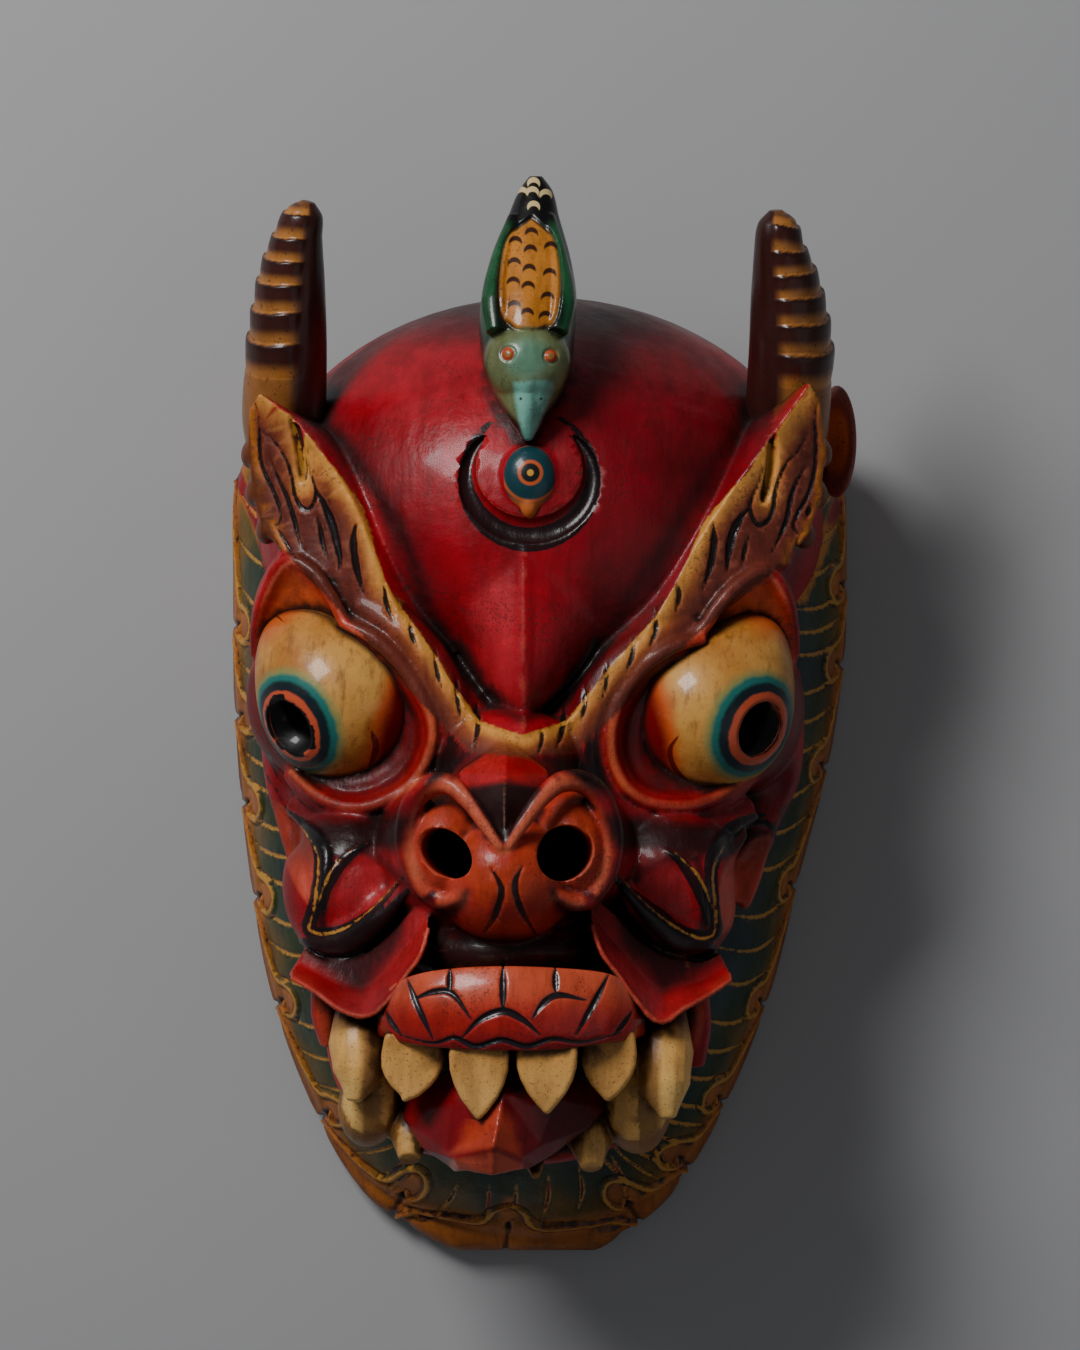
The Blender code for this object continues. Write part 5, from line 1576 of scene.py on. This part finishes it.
def make_eyeball(name, centre, gaze, pupil, bulge, ragged):
    """An eyeball with a pierced pupil, as a turned ball whose pole looks along the gaze."""
    middle = place(*centre)
    aim = place(*gaze, centre[2] + math.sqrt(EYE_RADIUS**2 - math.dist(gaze, centre[:2]) ** 2)) - middle
    eye = shape(bpy.ops.mesh.primitive_uv_sphere_add, segments=96, ring_count=72, radius=EYE_RADIUS * MM)
    eye.name = name
    bpy.ops.object.mode_set(mode="EDIT")
    bpy.ops.mesh.select_all(action="DESELECT")
    bpy.ops.object.mode_set(mode="OBJECT")
    for point in eye.data.vertices:
        point.select = point.co.z > 0 and math.hypot(point.co.x, point.co.y) < pupil * MM
    bpy.ops.object.mode_set(mode="EDIT")
    bpy.ops.mesh.delete(type="VERT")
    bpy.ops.mesh.select_non_manifold()
    bpy.ops.mesh.extrude_region_move(TRANSFORM_OT_translate={"value": (0, 0, -22 * MM)})
    bpy.ops.transform.resize(value=(0.82, 0.82, 1.0))
    bpy.ops.object.mode_set(mode="OBJECT")
    eye.matrix_world = Matrix.Translation(middle) @ aim.to_track_quat("Z", "Y").to_matrix().to_4x4()
    bpy.ops.object.transform_apply(location=True, rotation=True, scale=True)
    skin = Skin(eye)
    toward = np.clip((skin.points - np.array(middle)) @ np.array(bulge[0]) / (EYE_RADIUS * MM), 0.0, 1.0)
    skin.points += np.array(bulge[0]) * (toward**5 * bulge[1] * MM)[:, None]
    skin.move(np.zeros(len(skin.points)))
    away = skin.points - np.array(middle)
    direction = np.array(aim.normalized())
    height = away @ direction
    ring = np.linalg.norm(away - height[:, None] * direction, axis=1) / MM
    skin.value("ring", np.where(height > 0, ring, 60.0))
    inner = 1.0 if centre[0] < 0 else -1.0
    inward = (skin.across - centre[0]) * inner / EYE_RADIUS
    above = (skin.up - centre[1]) / EYE_RADIUS
    hooded = ease(toward, 0.82, 1.02) * 0.5 + ease(above, 0.75, 1.1) * 0.3
    skin.value("rim", np.maximum(ease(inward - 0.2 * above, 0.22, 0.76), hooded))
    skin.value("curl", strokes(skin, EYE_CURLS))
    dressed(eye, eyeball_paint(name + "_paint", ragged))
    return eye


def front_tooth(left, right, top, tip, out):
    """A flat pointed tooth that hangs from the gum."""
    middle, width = (left + right) / 2, right - left
    drop = tip[1] - top
    sides = ((0.32, 0.0), (0.48, 0.015), (0.62, 0.08), (0.76, 0.19), (0.9, 0.36))
    outline = [(left + width * 0.04, top)]
    for share, inset in sides:
        outline.append((left + width * inset + (tip[0] - middle) * share * 0.4, top + drop * share))
    outline.append(tip)
    for share, inset in sides[::-1]:
        outline.append((right - width * inset + (tip[0] - middle) * share * 0.4, top + drop * share))
    outline += [(right - width * 0.04, top)]
    tooth = joined("tooth", [slab(outline, out - 13, out, lean=0.1)])
    applied(tooth, "BEVEL", width=2.0 * MM, segments=3, limit_method="ANGLE", angle_limit=math.radians(50))
    return tooth


# Each front tooth: (left, right, top), its tip, and how far out it stands
TEETH = (
    ((-73.5, -43.5, -167), (-64.4, -200), 204), ((-42.5, -14.2, -162), (-28.8, -208.8), 217),
    ((-11.4, 17.6, -162), (3.3, -206), 217), ((19.4, 45.4, -166), (31.4, -200), 204))


# The fangs and the small teeth of the lower jaw: a line through each, and its radii
FANGS = (
    (((-84, -154, 160), (-84, -172, 177), (-84.5, -186, 183), (-87, -199, 186)), (11, 14.5, 12, 3.5)),
    (((57.5, -158, 160), (57, -176, 177), (58, -192, 183), (60, -207, 186)), (11, 14.5, 12, 3.5)),
    (((-81, -211, 144), (-80, -203, 162), (-80, -176, 168)), (10, 14.5, 11)),
    (((46, -214, 144), (45, -203, 163), (46, -176, 168)), (11, 16.5, 12)),
    (((-60, -202, 140), (-60.5, -212, 162), (-61, -226, 172)), (10, 11, 5)),
    (((23, -204, 140), (23, -214, 162), (24, -230, 172)), (11, 12.5, 5)),
    (((-3, -220, 150), (-2.5, -228, 162), (-2, -234, 170)), (5, 4.5, 2)),
)


def paint_teeth(skin):
    """Paints the teeth cream, darker at their roots, with painted shade on the fangs' inner sides."""
    u, v, z = skin.across, skin.up, skin.out
    cream, tan, brown = srgb(246, 188, 106), srgb(220, 148, 68), srgb(64, 34, 18)
    paint = coat(cream, len(u))
    paint = tint(paint, srgb(255, 206, 120), (np.abs(u + 14) > 60) * ease(z, 166, 172) * 0.9)
    paint = tint(paint, tan, ease(v, -200, -178) * 0.5)
    paint = tint(paint, brown, ease(v, -172, -160) * 0.8)
    centre = np.where(u < -16, -86.5, 59.0)
    upper_fang = (np.abs(u + 14) > 60) & (z > 166)
    side_on = ease((u - centre) * np.where(u < -16, 1.0, -1.0), 1.5, 5.0)
    # painted shade: darker on each upper fang's inner side
    paint = tint(paint, srgb(112, 62, 24), upper_fang * side_on * 0.75)
    lower = (z < 172) & (v < -176)
    paint = tint(paint, srgb(150, 96, 42), lower * 0.85)
    paint = tint(paint, srgb(70, 38, 18), lower * ease(v, -214, -186) * 0.8)
    skin.colour("paint", paint)


def make_teeth():
    """Four front teeth, two pairs of fangs and the small teeth of the lower jaw."""
    forms = [front_tooth(left, right, top, tip, out) for (left, right, top), tip, out in TEETH]
    forms += [strand(line, radii) for line, radii in FANGS]
    teeth = merged("teeth", forms, SMALL_GRAIN, smooth=1)
    thinned(teeth, 40000)
    paint_teeth(Skin(teeth))
    dressed(teeth, tooth_paint())
    return teeth


GUM_INK = (
    (((-42, -137), (-42.3, -149)), 1.5), (((-17.3, -136), (-17.3, -157)), 1.7),
    (((7, -137), (7.5, -149)), 1.5),
    (((-60, -152), (-50, -148), (-41, -148.8), (-32, -161)), 1.6),
    (((-36, -169), (-28, -161), (-17.3, -157), (-8, -161), (0, -168)), 1.8),
    (((-4, -161), (2, -153), (9, -149.5), (22, -152)), 1.6),
    (((-62, -142), (-57, -155), (-50, -170)), 1.5), (((32, -140), (25, -154), (17, -168)), 1.5),
    (((-72, -157), (-69, -163), (-64, -169)), 1.2), (((43, -157), (39, -163), (34, -169)), 1.2),
    (((-65, -168.5), (-50, -172), (-40, -169.5), (-30, -173.5), (-18, -170.5), (-6, -173.5), (6, -170),
      (20, -171.5), (38, -167)), 1.3),
)


def gum_form():
    """The arched gum, as sections of (across, top, bottom, height)."""
    stations = (
        (-76, -155, -168, 193), (-72, -147.5, -170, 202), (-64, -142, -172, 210), (-52, -138.5, -173.5, 218),
        (-34, -136.5, -175, 223), (-12, -136, -175.5, 225), (12, -137, -174.5, 222), (30, -139, -172, 216),
        (39, -142.5, -171, 209), (45, -148, -170, 202), (49, -155, -168, 193))
    rings = []
    for i in range(61):
        across = -76 + 125 * i / 60
        top, bottom, out = between(stations, across)
        ring = []
        for step in range(15):
            share = step / 14
            round_out = math.sin(math.pi * (0.1 + 0.76 * share)) ** 0.6
            ring.append(place(across, top + (bottom - top) * share, out - 12 * (1 - round_out)))
        ring.append(place(across, bottom, out - 30))
        ring.append(place(across, top, out - 40))
        rings.append(ring)
    return loft(rings)


def make_gum():
    """The arched upper gum over the teeth, with its petals of black grooves."""
    gum = merged("gum", [gum_form()], SMALL_GRAIN, smooth=1)
    skin = Skin(gum)
    front = ease(skin.out, 182, 192)
    skin.move(-1.4 * fade(strokes(skin, GUM_INK), -1.2, 0.5) * front)
    thinned(gum, 40000)
    skin = Skin(gum)
    u, v, z = skin.across, skin.up, skin.out
    paint = coat(srgb(186, 36, 34), len(u))
    paint = tint(paint, srgb(218, 92, 58), ease(v, -163, -144) * 0.9)
    paint = tint(paint, srgb(138, 16, 26), fade(v, -173, -165) * 0.7)
    skin.colour("paint", paint)
    skin.value("ink", np.where(z > 182, strokes(skin, GUM_INK), FAR))
    dressed(gum, gum_paint())
    return gum


def make_tongue():
    """The faceted tongue that comes out over the lower jaw."""
    rows = (
        ((-62, -190, 150), (-62, -196, 168), (-40, -184, 186), (-14, -180, 192), (14, -186, 184),
         (34, -196, 166), (34, -190, 150)),
        ((-64, -206, 150), (-64, -207, 172), (-40, -198, 196), (-17, -196, 210), (8, -198, 196),
         (31, -203, 172), (31, -202, 150)),
        ((-55, -220, 130), (-55, -221, 180), (-44, -222, 196), (-20, -212, 214), (0, -220, 196),
         (22, -212, 178), (22, -211, 130)),
        ((-43, -228, 130), (-43, -229, 186), (-40, -226, 202), (-22, -220, 216), (-8, -225, 202),
         (6, -224, 184), (6, -223, 130)),
        ((-40, -230, 140), (-40, -232, 184), (-38, -231, 198), (-22, -234, 208), (-9, -231, 198),
         (-4, -230, 184), (-4, -229, 140)),
    )
    form = loft([[place(*point) for point in ring] for ring in rows])
    tongue = merged("tongue", [form], SMALL_GRAIN, smooth=1)
    thinned(tongue, 24000)
    skin = Skin(tongue)
    u, v = skin.across, skin.up
    paint = coat(srgb(138, 12, 24), len(u))
    paint = tint(paint, srgb(72, 8, 16), ease(u, -16, 2) * ease(v, -224, -214) * 0.7)
    facet = inside(skin, ((-43, -224), (-30, -208), (-19, -199), (-12, -212), (-7, -227), (-20, -222)), 0)
    paint = tint(paint, srgb(196, 66, 38), fade(facet, -3, 1.5))
    face = inside(skin, ((-43, -226), (-20, -222), (-7, -228), (-6, -240), (-44, -240)), 0)
    paint = tint(paint, srgb(206, 88, 62), fade(face, -2, 0.5))
    skin.colour("paint", paint)
    skin.value("ink", np.full(len(u), FAR))
    dressed(tongue, gum_paint())
    return tongue


def third_eye_paint():
    """The teal drop with its orange tip and rings."""
    recipe = Recipe("third_eye_paint", coat=0.3, coat_roughness=0.14)
    colour = recipe.mix(recipe.remap(recipe.noise(120, 4), 0.3, 0.7), srgb(24, 70, 78), srgb(14, 40, 50))
    colour = recipe.over(colour, srgb(200, 104, 44), recipe.attribute("tip"), 78, 86, 1.0, 0.0)
    reach = recipe.attribute("ring")
    for edge, soft, paint in (
            (13.8, 0.5, srgb(196, 96, 44)), (12.6, 0.6, srgb(22, 62, 70)), (6.0, 0.4, srgb(202, 92, 48)),
            (4.4, 0.4, srgb(22, 30, 30)), (1.6, 0.3, srgb(220, 160, 60))):
        colour = recipe.over(colour, paint, reach, edge - soft, edge + soft, 1.0, 0.0)
    recipe.bump([(recipe.noise(120, 4), 0.3)])
    return recipe.finish(colour, 0.35)


def make_third_eye():
    """The small eye set in the forehead's boss."""
    centre = Vector((-5.0, 92.0, 171.0))
    eye = merged("third_eye", [ball(centre, (12.5, 15.0, 8.5)), ball((-5, 80, 172), (4.5, 7, 6))],
                 SMALL_GRAIN, smooth=2)
    skin = Skin(eye)
    ring = np.hypot(skin.across + 4.5, skin.up - 94.5)
    skin.value("ring", ring)
    skin.value("tip", skin.up)
    dressed(eye, third_eye_paint())
    return eye


LEFT_HORN = (
    (0.00, -117, 100, 84, 18.5), (0.20, -119, 122, 104, 19.5), (0.45, -117, 156, 122, 17.5),
    (0.68, -115, 186, 133, 14.5),
    (0.86, -112, 206, 140, 10.5), (0.95, -109.3, 216, 142.7, 8.0), (1.00, -108, 221, 144, 3.0))
RIGHT_HORN = (
    (0.00, 114, 96, 84, 18.5), (0.20, 115, 118, 104, 19.5), (0.45, 116, 152, 122, 18.5),
    (0.68, 114, 180, 133, 15.5),
    (0.86, 111, 200, 140, 11.0), (0.95, 110.3, 211.5, 142.7, 8.4), (1.00, 110, 217, 144, 3.0))
HORN_RINGS = (0.36, 0.47, 0.57, 0.67, 0.76, 0.85, 0.94)


def horn_swell(t, lag):
    """How far a place along the horn lies from one ring to the next, and how much the horn swells there."""
    past = [ring for ring in HORN_RINGS if ring <= t + lag]
    coming = [ring for ring in HORN_RINGS if ring > t + lag]
    if not past:
        return 0.3, 0.06 * min(t / 0.3, 1.0)
    if t >= 0.985:
        return 0.4, 0.06 * min(t / 0.3, 1.0)
    step = (t + lag - past[-1]) / ((coming[0] if coming else 1.04) - past[-1])
    return step, 0.04 + 0.13 * min(step * 1.15, 1.0) ** 0.8


def paint_horn(skin, step, facing):
    """Paints a horn dark, with ochre lips, and plain on its inner side."""
    skin.colour("paint", tints(
        coat(srgb(66, 30, 24), len(step)),
        (srgb(190, 124, 58), fade(step, 0.1, 0.55) * 0.95),
        (srgb(38, 18, 16), ease(step, 0.7, 1.0) * 0.7),
        (srgb(58, 24, 20), fade(facing, -0.1, 0.15))))


def make_horn(name, spine, side, steps=200, sides=48):
    """A horn whose outer side steps in at each ring, painted dark with ochre lips."""
    rings, lips, outers = [], [], []
    for i in range(steps + 1):
        t = i / steps
        across, up, out, radius = between(spine, t)
        ahead = between(spine, min(t + 0.02, 1.0))
        back = between(spine, max(t - 0.02, 0.0))
        centre = place(across, up, out)
        along = (place(*ahead[:3]) - place(*back[:3])).normalized()
        outward = Vector((side, 0.0, 0.25))
        outward = (outward - along * outward.dot(along)).normalized()
        across_way = along.cross(outward).normalized()
        ring = []
        for k in range(sides):
            angle = math.tau * k / sides
            facing = math.cos(angle)
            step, swell = horn_swell(t, 0.012 * math.cos(angle * 2.0))
            reach = radius * (1.0 + swell * ease(np.array(facing), -0.15, 0.25)) * MM
            ring.append(centre + (outward * math.cos(angle) + across_way * math.sin(angle)) * reach)
            lips.append(step)
            outers.append(facing)
        rings.append(ring)
    horn = joined(name, [loft(rings)])
    paint_horn(Skin(horn), np.array(lips), np.array(outers))
    dressed(horn, horn_paint())
    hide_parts(name)
    return horn


def make_ear(name, side, across, up, out, reach):
    """A thin leaf-shaped ear that stands on the side of the head, its base paint made paler as painted light
    on its unlit side.
    """
    forms = [
        ball((across - side * 5, up - 6, out - reach * 1.2), (7, reach * 0.6, reach * 0.9)),
        ball((across, up, out), (4.2, reach, reach * 0.5), (0, side * 38, 0)),
    ]
    ear = merged(name, forms, SMALL_GRAIN, smooth=1)
    skin = Skin(ear)
    leaf = np.hypot((skin.across - across) / (reach * 0.3), (skin.up - up) / (reach * 0.8))
    skin.move(-1.2 * fade(leaf, 0.5, 1.0) * (skin.normals[:, 2] > 0.2))
    # painted light: a base paler than the ear's own dull red-brown, lifting the side the lamps leave in shade
    paint = coat(srgb(158, 84, 72), len(skin.up))
    paint = tint(paint, srgb(236, 116, 64), fade(leaf, 0.5, 0.9))
    skin.colour("paint", paint)
    dressed(ear, horn_paint())
    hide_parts(name)
    return ear


# The bird from its tail to its beak: (up, middle, half width, back, belly)
BIRD_LINE = (
    (233, -2, 3, 152, 145), (226, -2, 8, 156, 142), (214, -3, 12, 162, 140), (196, -4, 18, 174, 138),
    (178, -5, 22, 184, 132),
    (164, -6, 22.5, 189, 122), (150, -6, 21.5, 189, 127), (137, -6, 19, 189, 140), (126, -6, 13, 186, 150),
    (118, -6, 8, 182, 161), (110, -6, 2, 177, 170))
BACK_MARKS = (
    ((-4, 206), (-4.5, 198), (-5, 189), (-5.5, 181), (-6, 168.5)),
    ((-11.5, 202), (-12, 192), (-12.5, 183), (-12, 172)),
    ((5, 199.5), (4.5, 187), (3.5, 176), (2.5, 167)),
)
TAIL_MARKS = ((-3, 229.5), (-8.5, 225), (-3.5, 225.2), (2.7, 224), (-3, 218.5))
BIRD_EYES = ((-15, 150), (5, 149))


def bird_form():
    """The bird's body, breast and wings, grown together."""
    rings = []
    for i in range(101):
        up = 233 + (110 - 233) * i / 100
        middle, half, back, belly = between(BIRD_LINE, up)
        ring = []
        for k in range(48):
            angle = math.tau * k / 48
            ring.append(place(middle + half * math.cos(angle), up,
                              (back + belly) / 2 + (back - belly) / 2 * math.sin(angle)))
        rings.append(ring)
    forms = [loft(rings), ball((-6, 146, 176), (20, 19, 18)), ball((-6, 149, 133), (16, 16, 14))]
    for side in (-1, 1):
        forms.append(strand(((-4 + side * 8, 214, 157), (-5 + side * 13, 194, 168),
                             (-5.5 + side * 15.5, 174, 178), (-6 + side * 14, 160, 184)), [3, 5, 6.5, 5]))
    return merged("bird_carving", forms, BIRD_GRAIN, smooth=2)


def carve_bird(skin):
    """Cuts the bird's back, eyes and crown, and says how much each point belongs to the back."""
    u, v, z = skin.across, skin.up, skin.out
    top = ease(z, 150, 158)
    back_line = ((-4, 214), (-15, 205), (-18.5, 190), (-18.5, 172), (-14, 163), (-6, 161), (4, 163),
                 (8.5, 172), (9.5, 190), (6, 205))
    back = inside(skin, back_line, 4)
    lift = -1.2 * fade(np.abs(back), 0.2, 1.4) * top
    for eye in BIRD_EYES:
        gap = np.hypot(u - eye[0], v - eye[1])
        lift += (1.0 * fade(gap, 1.4, 2.6) - 0.8 * fade(np.abs(gap - 3.2), 0.2, 0.9)) * ease(z, 170, 178)
    crown = gap_to(skin, ((-6, 160), (-6, 138), (-6, 112)))[0]
    lift += 1.0 * fade(crown, 0.5, 5) * fade(v, 136, 142) * top
    skin.move(lift)
    return fade(back, -1.2, 0.4) * top


def paint_bird(skin, on_back):
    """Paints the bird's body, back, head, beak and eyes, with its scales and tail marks."""
    u, v, z = skin.across, skin.up, skin.out
    green, deep, amber = srgb(26, 92, 52), srgb(10, 34, 24), srgb(196, 124, 44)
    paint = coat(deep, len(u))
    ridge = np.minimum(gap_to(skin, ((-15, 216), (-22, 192), (-25, 168), (-21, 156)))[0],
                       gap_to(skin, ((7, 216), (12, 192), (15, 168), (9, 156)))[0])
    paint = tint(paint, green, fade(ridge, 1.0, 5.0))
    paint = tint(paint, srgb(14, 12, 12), ease(v, 208, 214))
    paint = tint(paint, amber, on_back)
    head = inside(skin, ((-6, 163), (-20, 159), (-26, 150), (-22, 134), (-12, 120), (-6, 116), (0, 120),
                         (10, 134), (14, 150), (8, 159)), 4)
    paint = tint(paint, srgb(118, 128, 84), fade(head, -1.5, 1.5))
    paint = tint(paint, srgb(84, 140, 120), fade(np.hypot((u + 6) / 1.1, v - 148), 5, 14) * 0.7 * (head < 2))
    beak = inside(skin, ((-13, 137), (6, 137), (2, 122), (-5.5, 108), (-11, 122)), 4)
    paint = tint(paint, srgb(132, 206, 188), fade(beak, -1.5, 0.8) * 0.85)
    for eye in BIRD_EYES:
        gap = np.hypot(u - eye[0], v - eye[1])
        paint = tint(paint, srgb(214, 84, 44), fade(gap, 2.6, 3.3))
        paint = tint(paint, srgb(150, 120, 60), fade(gap, 1.2, 1.7))
    skin.colour("paint", paint)
    marks = np.full(len(u), FAR)
    for column in BACK_MARKS:
        for across, up in column:
            moon = np.maximum(np.hypot(u - across, v - up) - 3.3, 3.0 - np.hypot(u - across, v - up + 2.3))
            marks = np.minimum(marks, moon)
    for across in (-9, 0.5):
        marks = np.minimum(marks, np.hypot(u - across, v - 129) - 0.8)
    skin.value("ink", np.where(z > 150, marks, FAR))
    cream = np.full(len(u), FAR)
    for across, up in TAIL_MARKS:
        moon = np.maximum(np.hypot(u - across, v - up) - 3.0, 2.6 - np.hypot(u - across, v - up + 2.0))
        cream = np.minimum(cream, moon)
    skin.value("cream", np.where(z > 148, cream, FAR))


def make_bird():
    """The bird on the crown, carved and painted."""
    bird = bird_form()
    on_back = carve_bird(Skin(bird))
    paint_bird(Skin(bird), on_back)
    dressed(bird, bird_paint())
    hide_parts("bird")
    return bird


# The stage


def make_floor():
    """The plain pale floor."""
    floor = shape(bpy.ops.mesh.primitive_plane_add, size=6.0, location=(0.0, 0.0, -0.0005))
    floor.name = "floor"
    recipe = Recipe("floor_paint", coat=0.0)
    colour = recipe.mix(recipe.noise(3, 3), (0.40, 0.40, 0.405), (0.43, 0.43, 0.435))
    floor.data.materials.append(recipe.finish(colour, 0.8))


def make_light(name, place_at, size, power, target=(0.0, 0.0, 0.1)):
    """A soft square light aimed at the mask."""
    light = bpy.data.lights.new(name, "AREA")
    light.shape = "SQUARE"
    light.size = size
    light.energy = power
    lamp = bpy.data.objects.new(name, light)
    bpy.context.scene.collection.objects.link(lamp)
    lamp.location = place_at
    lamp.rotation_euler = (Vector(target) - Vector(place_at)).to_track_quat("-Z", "Y").to_euler()
    return lamp


def make_studio():
    """Soft light from the upper left, a weak fill, and the camera straight above."""
    make_light("key", (-0.95, 1.15, 1.5), 0.7, 33)
    make_light("fill", (1.3, -0.8, 1.6), 1.6, 2)
    world = bpy.data.worlds.new("studio")
    bpy.context.scene.world = world
    world.use_nodes = True
    world.node_tree.nodes["Background"].inputs["Color"].default_value = (0.9, 0.93, 1.0, 1.0)
    world.node_tree.nodes["Background"].inputs["Strength"].default_value = 0.11
    camera = bpy.data.objects.new("camera", bpy.data.cameras.new("camera"))
    bpy.context.scene.collection.objects.link(camera)
    camera.location = (EYE_OVER.x * MM, EYE_OVER.y * MM, SIGHT * MM)
    camera.data.sensor_width = 36.0
    camera.data.lens = 36.0 * (SIGHT - MIDDLE) / (FRAME_PIXELS_HIGH * PIXEL)
    camera.data.clip_end = 20.0
    bpy.context.scene.camera = camera


rim = Rim()
face = make_face()
mane_piece = make_mane(rim)
pieces = [
    face,
    mane_piece,
    make_eyeball("eye_left", LEFT_EYE, LEFT_GAZE, PUPIL_RADIUS, LEFT_BULGE, True),
    make_eyeball("eye_right", RIGHT_EYE, RIGHT_GAZE, PUPIL_RADIUS - 1, RIGHT_BULGE, False),
    make_third_eye(),
    make_gum(),
    make_teeth(),
    make_tongue(),
    make_horn("horn_left", LEFT_HORN, -1),
    make_horn("horn_right", RIGHT_HORN, 1),
    make_ear("ear_left", -1, 15.0 - LEFT_HALF, 112, 57, 20),
    make_ear("ear_right", 1, RIGHT_HALF - 2.5, 109, 76, 27),
    make_bird(),
]
# Painted shade: the paints darken each point by how closed in it is
shelter(pieces)
for piece in pieces:
    skin = Skin(piece)
    skin.points = np.clip(skin.points, *[np.array(corner) for corner in frame_bounds])
    skin.move(np.zeros(len(skin.points)))
    # The paints lighten raised edges by this, as edge wear and painted highlight
    skin.value("edge", np.clip(-skin.hollowness(2) * 4.0, 0.0, 1.0))
paint_face(Skin(face))
paint_mane(Skin(mane_piece), rim)
dressed(face, face_paint("face_paint"))
dressed(mane_piece, face_paint("mane_paint"))
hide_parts("mask")
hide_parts("mask")
make_floor()
make_studio()
